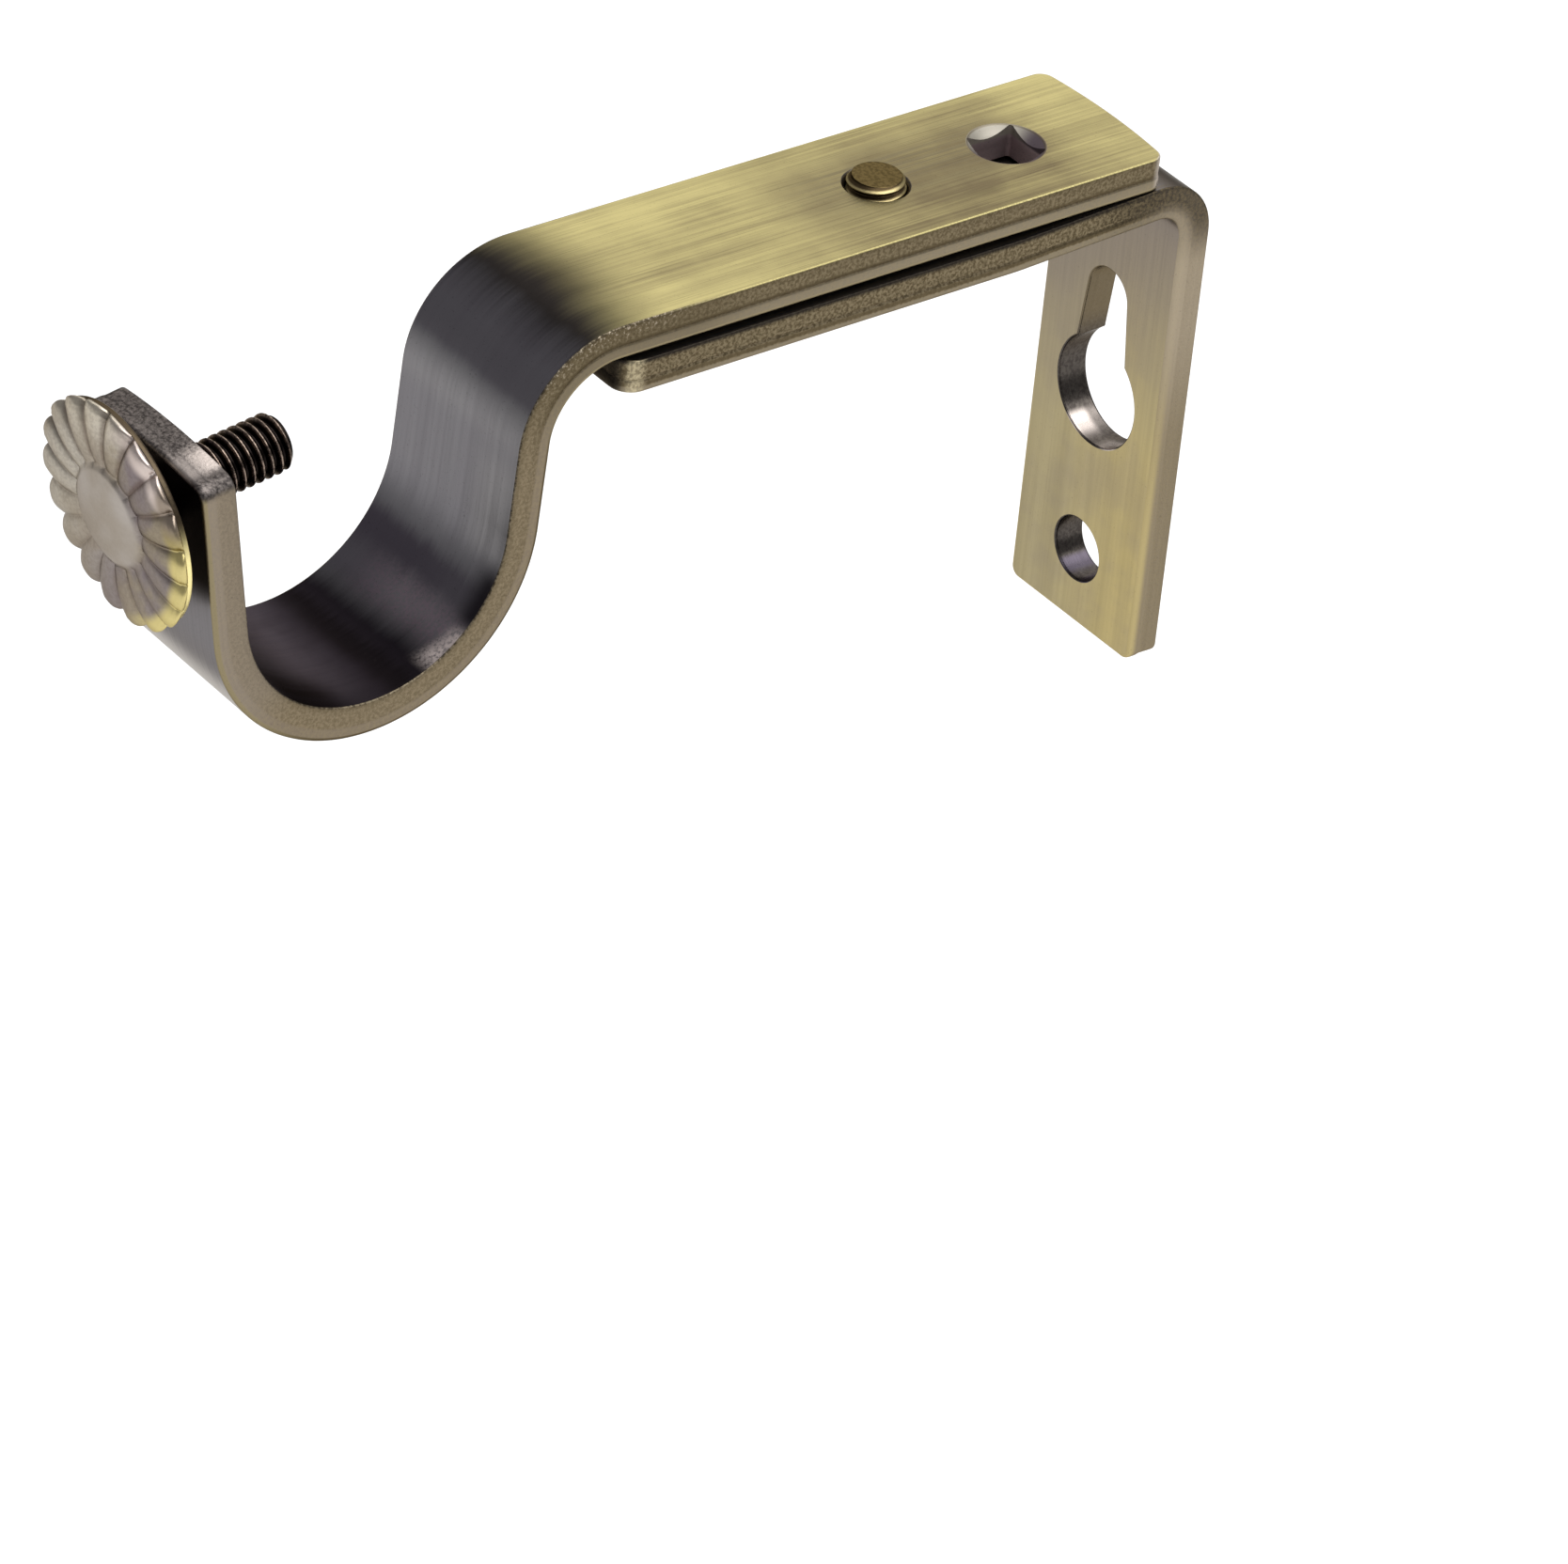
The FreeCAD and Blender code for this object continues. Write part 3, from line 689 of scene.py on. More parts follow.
def slotted_screw():
    """Grids of the adjusting screw about the Z axis: thread and pan head by turning, and the driving
    slot as two circle segments, two straight walls and a floor.
    """
    low = BEARING_Z - PAN_H
    floor = low + PAN_SLOT_DEPTH
    half = PAN_SLOT_WIDTH / 2.0
    gap = np.arcsin(np.linspace(-half, half, 7) / PAN_R)
    arc = np.linspace(0.0, 1.0, 41)
    upper = gap[-1] + arc * (math.pi - 2 * gap[-1])
    angle = np.concatenate([gap, upper[1:], math.pi + gap[1:], math.pi + upper[1:]])[None]
    z = np.linspace(SCREW_TIP_Z, BEARING_Z, 160)[:, None]
    r = thread_radius(z, angle, SCREW_R, 0.42, SCREW_TIP_Z, BEARING_Z, 0.42)
    rows = [(0.0, SCREW_TIP_Z), (1.1, SCREW_TIP_Z), (1.96, SCREW_TIP_Z), (2.60, BEARING_Z), (4.45, BEARING_Z),
            (4.56, BEARING_Z - 0.04), (PAN_R, BEARING_Z - 0.14), (PAN_R, floor)]
    ends = np.ones_like(angle) * np.array(rows)[:, :1]
    r = np.concatenate([ends[:3], r, ends[3:]])
    z = np.concatenate([np.array(rows)[:3, 1:], z, np.array(rows)[3:, 1:]])
    patches = [turned(r, angle, z, z, (0.0, TAP_Y, 0.0), np.eye(3))]

    bend = np.linspace(0.0, math.pi / 2.0, 8)
    ring_r = np.concatenate([[PAN_R], PAN_R - PAN_ROUND + PAN_ROUND * np.cos(bend)])
    ring_z = np.concatenate([[floor], low + PAN_ROUND - PAN_ROUND * np.sin(bend)])
    edge_x = np.sqrt(ring_r ** 2 - half ** 2)
    chord = np.linspace(edge_x[-1], -edge_x[-1], len(arc))
    x = np.concatenate([edge_x[:-1], chord, -edge_x[:-1][::-1]])
    top = np.concatenate([ring_z[:-1], np.full(len(chord), low), ring_z[:-1][::-1]])
    lean = np.concatenate([[0.0], bend])[:, None]
    start = np.arcsin(half / ring_r)[:, None]
    theta = start + arc[None] * (math.pi - 2 * start)
    grids = []
    for side in (1.0, -1.0):
        c, d = np.cos(theta), side * np.sin(theta)
        ring = join(ring_r[:, None] * c, ring_r[:, None] * d, ring_z[:, None])
        lid = blend(ring[-1], join(chord, side * half, low), np.linspace(0.0, 1.0, 4))
        wall = np.stack([join(x, side * half, floor), join(x, side * half, top)])
        grids += [(ring, join(c * np.cos(lean), d * np.cos(lean), -np.sin(lean))), (lid, (0.0, 0.0, -1.0)),
                  (wall, (0.0, -side, 0.0))]
    for grid, normals in grids:
        patches.append((grid + (0.0, TAP_Y, 0.0), np.broadcast_to(normals, grid.shape), grid[..., :2]))
    y = np.linspace(-half, half, 7)[:, None]
    ground = join(x * np.sqrt(PAN_R ** 2 - y ** 2) / edge_x[0], y + TAP_Y, floor)
    patches.append((ground, np.broadcast_to((0.0, 0.0, -1.0), ground.shape), ground[..., :2]))
    return patches


# Paths of the two straps

lean = math.atan2(CREST_Z - LEG_TOP_Z, -(WALL_BEND_R + 2.0 * HALF_T) - LEG_BREAK_Y)
plate_rise = CREST_Z - 2.0 * HALF_T - WALL_BEND_R - PLATE_BOTTOM_Z
wall_steps = [(plate_rise, 0.0), ((WALL_BEND_R + HALF_T) * (math.pi / 2 + lean), math.pi / 2 + lean)]
bend_end = bent_path(-HALF_T, PLATE_BOTTOM_Z, math.pi / 2, wall_steps)[-1]
ease = LEG_BREAK_R * math.tan(lean / 2.0)
leg_run = (bend_end[2] - LEG_TOP_Z + HALF_T) / math.sin(lean) - ease
break_end = bend_end[1] - leg_run * math.cos(lean) - LEG_BREAK_R * math.sin(lean)
wall_steps += [(leg_run, 0.0), (LEG_BREAK_R * lean, -lean), (break_end - LEG_END_Y, 0.0)]
wall_path = bent_path(-HALF_T, PLATE_BOTTOM_Z, math.pi / 2, wall_steps)

cup_turn = LIP_LEAN - math.pi / 2 - DROP_TURN
hook_steps = [(ARM_END_Y - ARM_BEND_Y, 0.0), ((ARM_BEND_R + HALF_T) * DROP_TURN, DROP_TURN),
              (DROP_LENGTH, 0.0), ((CUP_R + HALF_T) * -cup_turn, cup_turn), (LIP_LENGTH, 0.0)]
hook_path = bent_path(ARM_END_Y, ARM_TOP_Z - HALF_T, math.pi, hook_steps)
hook_length, wall_length = hook_path[-1, 0], wall_path[-1, 0]

lip_up = np.array([0.0, -math.sin(LIP_LEAN), math.cos(LIP_LEAN)])
outward = np.array([0.0, -math.cos(LIP_LEAN), -math.sin(LIP_LEAN)])
lip_top = np.array([0.0, hook_path[-1, 1], hook_path[-1, 2]]) - outward * HALF_T
thumb_origin = lip_top - lip_up * THUMB_BELOW_PEAK
thumb_axes = (np.array([1.0, 0.0, 0.0]), np.cross(outward, [1.0, 0.0, 0.0]), outward)

# The pieces; a hole's cell starts and ends at the two numbers after its outline

adj_slot = stadium(*(wall_length - (y - LEG_END_Y) for y in ADJ_SLOT_Y), ADJ_SLOT_R)
wall_holes = [
    hole(circle(SCREW_HOLE_Z - PLATE_BOTTOM_Z, SCREW_HOLE_R), 2.9, 10.9, 40, straight(PUNCHED)),
    hole(keyhole(KEY_Z - PLATE_BOTTOM_Z, KEY_SLOT_TOP_Z - PLATE_BOTTOM_Z), 16.6, 36.2, 90, straight(PUNCHED)),
    hole(adj_slot, wall_length - 38.5, wall_length - 5.0, 90, straight(PUNCHED)),
]
wall_grids = strap_patches(wall_path, (0.0, PLATE_CORNER_R), (0.0, LEG_CORNER_R), wall_holes,
                           lambda s: smooth(42.0, 52.0, s))
wall_strap = mesh_object("wall_strap", wall_grids, "wall_bracket", ["wall_bracket"])

square = rounded_square(BOLT_HOLE_S, BOLT_HOLE_SIDE / 2.0, BOLT_HOLE_CORNER)
lip_bore = circle(hook_length - THUMB_BELOW_PEAK, LIP_BORE_R)
hook_holes = [
    hole(square, 6.4, 15.0, 56, countersunk),
    hole(circle(ARM_END_Y - TAP_Y, TAP_R), 20.0, 27.8, 40, straight(TAPPED)),
    hole(lip_bore, hook_length - 9.2, hook_length - 2.8, 40, straight(PUNCHED)),
]
crowned = (CROWN_SAG, CROWN_CORNER_R)
hook_grids = strap_patches(hook_path, crowned, crowned, hook_holes, lambda s: 1.0 - smooth(56.0, 66.0, s))
hook_strap = mesh_object("hook_strap", hook_grids, "arm", ["hook_arm"])

screw = mesh_object("adjusting_screw_threaded", slotted_screw(), "arm", ["adjusting_screw"])

r, angle, t = thumb_thread()
thread = turned(r, angle, t, t, thumb_origin, thumb_axes)
thumb_shank = mesh_object("thumbscrew_thread", [thread], "thumbscrew", ["thumbscrew_shank"])

r, angle, t, length, HEAD_MARKS = petal_head()
petals = turned(r, angle, t, length, thumb_origin, thumb_axes)
thumb_head = mesh_object("thumbscrew_petals", [petals], "thumbscrew", ["thumbscrew_head"])


# Finishes

def linear(r, g, b):
    """Colour from 0 to 255 steps of a screen to light, by the screen's own curve."""
    c = np.array([r, g, b]) / 255.0
    c = np.where(c <= 0.04045, c / 12.92, ((c + 0.055) / 1.055) ** 2.4)
    return (float(c[0]), float(c[1]), float(c[2]), 1.0)


def add_node(tree, kind, inputs=(), **settings):
    """One node with its settings; an input, given by name or number, is a value or a Wire."""
    node = tree.nodes.new(kind)
    for key, value in settings.items():
        setattr(node, key, value)
    for key, value in dict(inputs).items():
        if isinstance(value, Wire):
            tree.links.new(value.socket, node.inputs[key])
        else:
            node.inputs[key].default_value = value
    return node


class Wire:
    """Output of a node. Arithmetic with it, and each call below, adds nodes to its tree."""

    def __init__(self, socket):
        self.socket = socket

    def node(self, kind, inputs, **settings):
        return add_node(self.socket.id_data, kind, inputs, **settings)

    def math(self, how, other=0.0, clamp=False):
        return Wire(self.node("ShaderNodeMath", {0: self, 1: other}, operation=how, use_clamp=clamp).outputs[0])

    def __add__(self, other):
        return self.math("ADD", other)

    def __sub__(self, other):
        return self.math("SUBTRACT", other)

    def __rsub__(self, other):
        return self * -1.0 + other

    def __mul__(self, other):
        return self.math("MULTIPLY", other)

    def ramp(self, low, high, to_low=0.0, to_high=1.0):
        """S-shaped step from to_low at low to to_high at high."""
        given = {"Value": self, "From Min": low, "From Max": high, "To Min": to_low, "To Max": to_high}
        return Wire(self.node("ShaderNodeMapRange", given, interpolation_type="SMOOTHSTEP").outputs[0])

    def fall(self, low, high, top=1.0):
        """S-shaped step from top at low to 0 at high."""
        return self.ramp(low, high, top, 0.0)

    def band(self, rise, fall):
        """1 between the pair of places where it rises and the pair where it falls, and 0 outside."""
        return self.ramp(*rise) * self.fall(*fall)

    def fold(self):
        """1 at whole numbers, falling evenly to 0 halfway between them."""
        return (self.math("FRACT") * 2.0 - 1.0).math("ABSOLUTE")

    def mix(self, a, b):
        """Colour a where this is 0 and b where it is 1."""
        return Wire(self.node("ShaderNodeMix", {0: self, 6: a, 7: b}, data_type="RGBA").outputs[2])

    def scaled(self, by):
        return Wire(self.node("ShaderNodeVectorMath", {0: self, 1: by}, operation="MULTIPLY").outputs[0])

    def noise(self, scale, detail, rough):
        given = {"Vector": self, "Scale": scale, "Detail": detail, "Roughness": rough}
        return Wire(self.node("ShaderNodeTexNoise", given).outputs[0])

    def parts(self):
        return [Wire(part) for part in self.node("ShaderNodeSeparateXYZ", {0: self}).outputs]


def layers(colour, *coats):
    """The colour with the coats laid over it in turn, each a mask and a colour."""
    for mask, coat in coats:
        colour = mask.mix(colour, coat)
    return colour


def new_group(build, given):
    """Shader node group of one vector input. build takes it and gives the outputs by name."""
    tree = bpy.data.node_groups.new(build.__name__, "ShaderNodeTree")
    tree.interface.new_socket(name=given, in_out="INPUT", socket_type="NodeSocketVector")
    masks = build(Wire(tree.nodes.new("NodeGroupInput").outputs[0]))
    for name in masks:
        tree.interface.new_socket(name=name, in_out="OUTPUT", socket_type="NodeSocketFloat")
    end = tree.nodes.new("NodeGroupOutput")
    for name, mask in masks.items():
        tree.links.new(mask.socket, end.inputs[name])
    return tree


def use(group, given):
    """Outputs, by name, of the node group with the wire put in."""
    node = given.node("ShaderNodeGroup", {0: given}, node_tree=group)
    return {socket.name: Wire(socket) for socket in node.outputs}


def strap_places(along):
    """Where a point of a strap lies, read from the UV map: on which face, in a hole or on the sheared
    edge, with the place s along the strap, x across it and the height n through it.
    """
    s, v, _ = along.parts()
    inner = v.math("GREATER_THAN", INNER_UV / 2.0) * v.math("LESS_THAN", INNER_UV * 1.5)
    off = v.math("GREATER_THAN", (INNER_UV + SIDE_UV) / 2.0)
    wall = v.math("GREATER_THAN", (SIDE_UV + WALL_UV) / 2.0)
    return {"Inner face": inner, "Off the faces": off, "Hole wall": wall, "S": s,
            "X": v - inner * INNER_UV, "N": v - off * SIDE_UV - wall * (WALL_UV - SIDE_UV)}


def brushed_lines(along):
    """Lines brushed along the first coordinate: noise stretched along it, broad, medium and fine."""
    return {"Broad": along.scaled((0.022, 0.45, 1.0)).noise(1.0, 2.0, 0.5),
            "Lines": along.scaled((0.035, 2.6, 1.0)).noise(1.0, 3.0, 0.6),
            "Fine": along.scaled((0.09, 12.0, 1.0)).noise(1.0, 2.0, 0.5)}


def uneven_plating(place):
    """Uneven plating by place in millimetres: soft clouds, a grain like torn metal and tiny pits."""
    return {"Clouds": place.noise(0.16, 3.0, 0.55), "Grain": place.noise(3.4, 4.0, 0.65),
            "Pits": place.noise(5.0, 1.0, 0.5).ramp(0.66, 0.76)}


def petal_places(around):
    """Places on the head, read from its UV map of angle and running length: how near the middle of a
    groove, and masks of the boss, the rim and the plain ring behind the petals.
    """
    edge, foot, rim, ring, back = HEAD_MARKS
    angle, length, _ = around.parts()
    petal = length.band((foot, foot + 0.9), (rim + 0.2, ring))
    return {"Groove": (angle * (PETALS / (2.0 * math.pi)) + 0.5).fold().ramp(0.62, 0.97) * petal,
            "Boss": length.fall(edge - 0.1, foot),
            "Rim": length.band((rim - 1.5, rim - 0.5), (ring - 0.2, ring)),
            "Ring": length.band((ring - 0.15, ring), (back - 0.1, back + 0.1))}


def thread_height(around):
    """Height of the thread from its UV map of angle and place along the axis: 1 on the crests."""
    angle, t, _ = around.parts()
    return {"Crest": (t * (1.0 / THREAD_PITCH) + angle * (-0.5 / math.pi)).fold().ramp(0.50, 0.90)}


STRAP_PLACES = new_group(strap_places, "Along")
BRUSHED = new_group(brushed_lines, "Along")
PLATING = new_group(uneven_plating, "Place")
PETAL_PLACES = new_group(petal_places, "Around")
THREAD_HEIGHT = new_group(thread_height, "Around")

# Plating of the straps' faces by tone, from bright brass to the black that the brush didn't reach, with colours
# for painted glints, highlights, reflections and shade among them
BRASS_PALE = linear(184, 173, 121)
BRASS_DEEP = linear(112, 101, 77)
BRASS_SMEARED = linear(103, 94, 78)
# also painted shade up toward the wall strap's bend
VIOLET_BRASS_AND_SHADE = linear(137, 127, 115)
PLATE_BRASS = linear(169, 157, 122)
PLATE_WARM = linear(186, 169, 118)
# gunmetal tones, also used for painted reflection edges, painted shade and a painted light
GUNMETAL_PALE_AND_SHEEN = linear(166, 164, 160)
GUNMETAL = linear(126, 124, 127)
DEEP_GUNMETAL_AND_PAINTED_LIGHT = linear(86, 80, 89)
HAZY_VIOLET = linear(142, 124, 134)
# painted shade where the plate's front enters the bend
BEND_SHADE_GREY = linear(122, 115, 110)
# black plating, also standing in for painted dark reflection and painted shade
BLACK_PLATING_AND_SHADE = linear(40, 37, 36)
# also painted shade on the lip behind the thumbscrew's head
CUP_BLACK_AND_SHADE = linear(33, 29, 34)
CUP_BLACKEST = linear(20, 17, 20)
CUP_VIOLET = linear(62, 57, 63)
CUP_UNDERSIDE = linear(204, 201, 198)
# colours of painted glints and highlights
PAINTED_GLINT = linear(212, 200, 192)
PAINTED_GLINT_PALE = linear(235, 220, 214)

# Sheared edges
EDGE_TAN = linear(131, 121, 102)
EDGE_BROWN = linear(112, 100, 78)
EDGE_DARK = linear(88, 77, 57)
EDGE_CUP = linear(127, 115, 98)
EDGE_PLATE = linear(146, 132, 108)
EDGE_PLATE_TAN = tuple((a + b) / 2.0 for a, b in zip(EDGE_PLATE, EDGE_TAN))
EDGE_PLATE_HIGH = linear(176, 163, 143)
EDGE_WORN = linear(142, 129, 103)
EDGE_LIP = linear(146, 136, 124)
EDGE_SPECK = linear(190, 178, 160)
RIM_PALE = linear(152, 140, 110)
# painted highlights on rounded corners
ARM_END_HIGHLIGHT = linear(196, 187, 176)
LEG_CORNER_HIGHLIGHT = linear(196, 183, 150)
LIP_END_DARK = linear(56, 52, 51)
LIP_END_GREY = linear(116, 109, 105)

# Walls of the holes
WALL_DARK = linear(84, 79, 74)
WALL_BLACK = linear(66, 61, 58)
SINK_SHADE = linear(112, 101, 106)
SINK_LIT = linear(166, 161, 150)
SQUARE_SHADE = linear(126, 115, 116)
SQUARE_HALF_LIT = linear(176, 158, 160)
SQUARE_LIT = linear(214, 196, 196)

# Petalled head
# petal colours in painted light and shade, and a painted highlight
PETAL_LIT_TAN = linear(184, 177, 164)
PETAL_SHADED_GREY = linear(137, 128, 125)
PETAL_HIGHLIGHT = linear(222, 213, 194)
PETAL_BROWN = linear(146, 132, 110)
PETAL_YELLOW = linear(178, 167, 128)
PETAL_VIOLET = linear(116, 104, 112)
PETAL_GRAIN = linear(112, 102, 94)
GROOVE_BROWN = linear(80, 60, 48)
# rim tips and ring: the yellow is brass with a painted reflection of the floor, and the tips' glint is painted
TIP_BRASS_AND_SHEEN = linear(206, 191, 130)
TIP_BROWN = linear(112, 98, 76)
TIP_PAINTED_GLINT = linear(206, 192, 184)
BOSS_PALE = linear(178, 171, 164)
BOSS_DEEP = linear(162, 153, 142)
RING_BRASS_AND_SHEEN = linear(246, 231, 165)
RING_BROWN = linear(78, 68, 54)

# Screws
THREAD_BLACK = linear(26, 22, 21)
# crest colour: wear, partly a painted highlight
THREAD_WEAR_AND_SHEEN = linear(150, 133, 120)
SCREW_END_DEEP = linear(74, 63, 40)
SCREW_END_BRASS = linear(98, 84, 54)
SCREW_VALLEY = linear(70, 58, 40)
# crest and chamfer colour: painted highlight
SCREW_CREST_SHEEN = linear(190, 174, 126)
SCREW_BELOW = linear(74, 66, 56)

METAL_TINT = (0.55, 0.52, 0.48, 1.0)


def new_material(name):
    """Material with nothing but its Principled shader and its output."""
    material = bpy.data.materials.new(name)
    material.use_nodes = True
    tree = material.node_tree
    tree.nodes.clear()
    shader = add_node(tree, "ShaderNodeBsdfPrincipled")
    end = add_node(tree, "ShaderNodeOutputMaterial")
    tree.links.new(shader.outputs[0], end.inputs["Surface"])
    return material, shader


def new_metal(name):
    """Metal, with wires for its UV map, its place in millimetres and the masks of uneven plating."""
    material, shader = new_material(name)
    shader.inputs["Metallic"].default_value = 1.0
    shader.inputs["Specular Tint"].default_value = METAL_TINT
    uv = Wire(add_node(material.node_tree, "ShaderNodeUVMap", uv_map="along").outputs[0])
    place = Wire(add_node(material.node_tree, "ShaderNodeTexCoord").outputs["Object"]).scaled((1.0 / MM,) * 3)
    return material, shader, uv, place.parts(), use(PLATING, place)


def finish(shader, colour, rough, height, distance, strength):
    """Send the colour and the roughness to the shader, and the height to its bump."""
    bump = height.node("ShaderNodeBump", {"Height": height, "Distance": distance, "Strength": strength})
    for name, wire in (("Base Color", colour), ("Roughness", rough), ("Normal", Wire(bump.outputs[0]))):
        shader.id_data.links.new(wire.socket, shader.inputs[name])


def strap_finish(name, faces, edge):
    """Antique brass plating of a strap, brushed along its faces and left grainy on its sheared edge.

    faces(s, x, b, p) gives the colours of the outer and the inner face, and how deep their scratches
    are, from the place and the masks of brushed lines and uneven plating. edge(s, x, n, p) gives the
    colours of the sheared edge and the hole walls, and how much rougher the hole walls are.
    """
    material, shader, along, place, p = new_metal(name)
    z, b = use(STRAP_PLACES, along), use(BRUSHED, along)
    outer, inner, scratch = faces(z["S"], z["X"], b, p)
    side, wall, rougher = edge(z["S"], place[0], z["N"], p)
    colour = layers(z["Inner face"].mix(outer, inner),
                    (b["Fine"].ramp(0.50, 0.70, 0.0, 0.26) * scratch, BLACK_PLATING_AND_SHADE),
                    (z["Off the faces"], z["Hole wall"].mix(side, wall)),
                    (p["Pits"] * 0.22, BLACK_PLATING_AND_SHADE))
    torn = (z["Off the faces"] - z["Hole wall"]) * z["N"].ramp(0.2, 0.5, 1.0, 0.3)
    rough = b["Lines"].ramp(0.3, 0.7, 0.31, 0.40) + torn * 0.14 + z["Hole wall"] * (rougher - 0.06)
    height = b["Fine"] * scratch * (1.0 - z["Off the faces"]) * 0.05 + p["Grain"] * (torn * 0.30 + 0.008)
    finish(shader, colour, rough, height, 0.0004, 0.6)
    return material


def hook_faces(s, x, b, p):
    """The arm's top is brass, deeper around its two holes and brightest before the bend. The bend's crown
    is black, a painted dark reflection that is partly black plating left in the bend, with a painted
    darker band and a painted paler band along its edge. The drop is gunmetal, with a painted shade band
    where it meets the cup. The bottom of the cup is black with a painted highlight near its near edge,
    the outside of the cup pale, and the back of the lip black behind the thumbscrew's head, partly
    painted shade.
    """
    broad, lines, clouds, grain = b["Broad"], b["Lines"], p["Clouds"], p["Grain"]
    wander = broad * 3.0 + lines * 2.2 - 2.6
    bright = s.ramp(21.0, 42.0, 0.16, 0.84).math("MAXIMUM", s.ramp(3.0, 11.0, 0.62, 0.14))
    bright = bright + x.fall(-8.0, 1.0) * s.ramp(22.0, 40.0, 0.37, 0.06) + (broad * 0.9 + clouds - 0.95) * 0.7
    bright = bright.math("ADD", (lines - 0.5) * 1.25, clamp=True)
    bright = bright - x.band((-4.5, -1.0), (1.5, 5.5)) * s.ramp(28.0, 42.0) * 0.22
    smear = s.band((7.0, 12.0), (25.0, 37.0)) * (x + broad * 4.0).band((-4.5, -0.5), (3.0, 6.5))
    grey = broad.fall(0.35, 0.65, 0.12).mix(GUNMETAL, DEEP_GUNMETAL_AND_PAINTED_LIGHT)
    step = s + wander * 0.15
    shade_band = (s + wander * 0.5).band((78.4, 80.4), (81.4, 84.2)) * x.ramp(-2.0, 8.0, 0.95, 0.6)
    hazy = s.band((81.5, 84.0), (85.5, 88.0)) * grain.ramp(0.40, 0.60, 0.15, 0.75)
    near = s + wander * 0.5 + x * 0.06
    # where the painted highlight lies in the cup
    cup_glint = s.band((82.8, 84.4), (86.4, 88.8)) * (x + s * 0.20).ramp(22.7, 24.6)
    outer = layers(bright.mix(BRASS_DEEP, BRASS_PALE),
                   (smear * lines.ramp(0.38, 0.62, 0.0, 0.72), BRASS_SMEARED),
                   # painted dark reflection on the bend's crown, partly black plating left in the bend
                   ((s + wander * 0.8 - x * x * 0.020).ramp(48.2, 56.8), BLACK_PLATING_AND_SHADE),
                   ((s + wander * 0.4).ramp(57.0, 61.0), grey),
                   # painted reflection edge: a darker band before the drop and a paler one after it
                   (step.band((57.0, 60.0), (62.9, 63.8)) * 0.42, DEEP_GUNMETAL_AND_PAINTED_LIGHT),
                   (step.band((63.0, 64.2), (65.4, 68.0)) * 0.16, GUNMETAL_PALE_AND_SHEEN),
                   (s.band((66.0, 70.0), (76.0, 78.5)) * x.ramp(1.0, 6.0, 0.0, 0.24), GUNMETAL_PALE_AND_SHEEN),
                   # painted shade band across the start of the cup
                   (shade_band, DEEP_GUNMETAL_AND_PAINTED_LIGHT),
                   (hazy * x.ramp(-7.0, -3.0), HAZY_VIOLET),
                   # more painted shade there, darker toward the far side
                   (s.band((80.0, 82.0), (85.5, 88.0)) * x.fall(-6.0, 1.5, 0.65), DEEP_GUNMETAL_AND_PAINTED_LIGHT),
                   (near.ramp(84.3, 88.8), CUP_BLACK_AND_SHADE),
                   (near.band((88.8, 90.6), (91.2, 93.4)), CUP_BLACKEST),
                   ((s - x * 0.12).ramp(91.2, 97.0) * clouds.ramp(0.3, 0.6, 0.5, 1.0), CUP_VIOLET),
                   (s.band((76.0, 79.0), (82.0, 84.0)) * x.ramp(5.0, 7.6, 0.0, 0.9), CUP_BLACK_AND_SHADE),
                   (s.ramp(95.0, 98.5) * x.ramp(1.5, 6.5, 0.0, 0.8), CUP_BLACK_AND_SHADE),
                   # painted highlight near the cup's near edge
                   (cup_glint * grain.ramp(0.34, 0.58, 0.30, 1.0), PAINTED_GLINT_PALE),
                   (s.ramp(102.0, 108.0), DEEP_GUNMETAL_AND_PAINTED_LIGHT))
    inner = layers((s + wander * 0.6).ramp(52.0, 58.0).mix(BRASS_DEEP, grey),
                   ((s + wander * 0.5).band((95.0, 101.0), (107.5, 112.0)), CUP_UNDERSIDE),
                   (s.ramp(109.0, 113.0), GUNMETAL),
                   # black on the lip's back behind the thumbscrew's head: painted shade of the head, partly
                   # black plating
                   ((s + wander * 0.3).ramp(116.5, 119.5), CUP_BLACK_AND_SHADE))
    return outer, inner, s.ramp(54.0, 60.0, 1.0, 0.14)


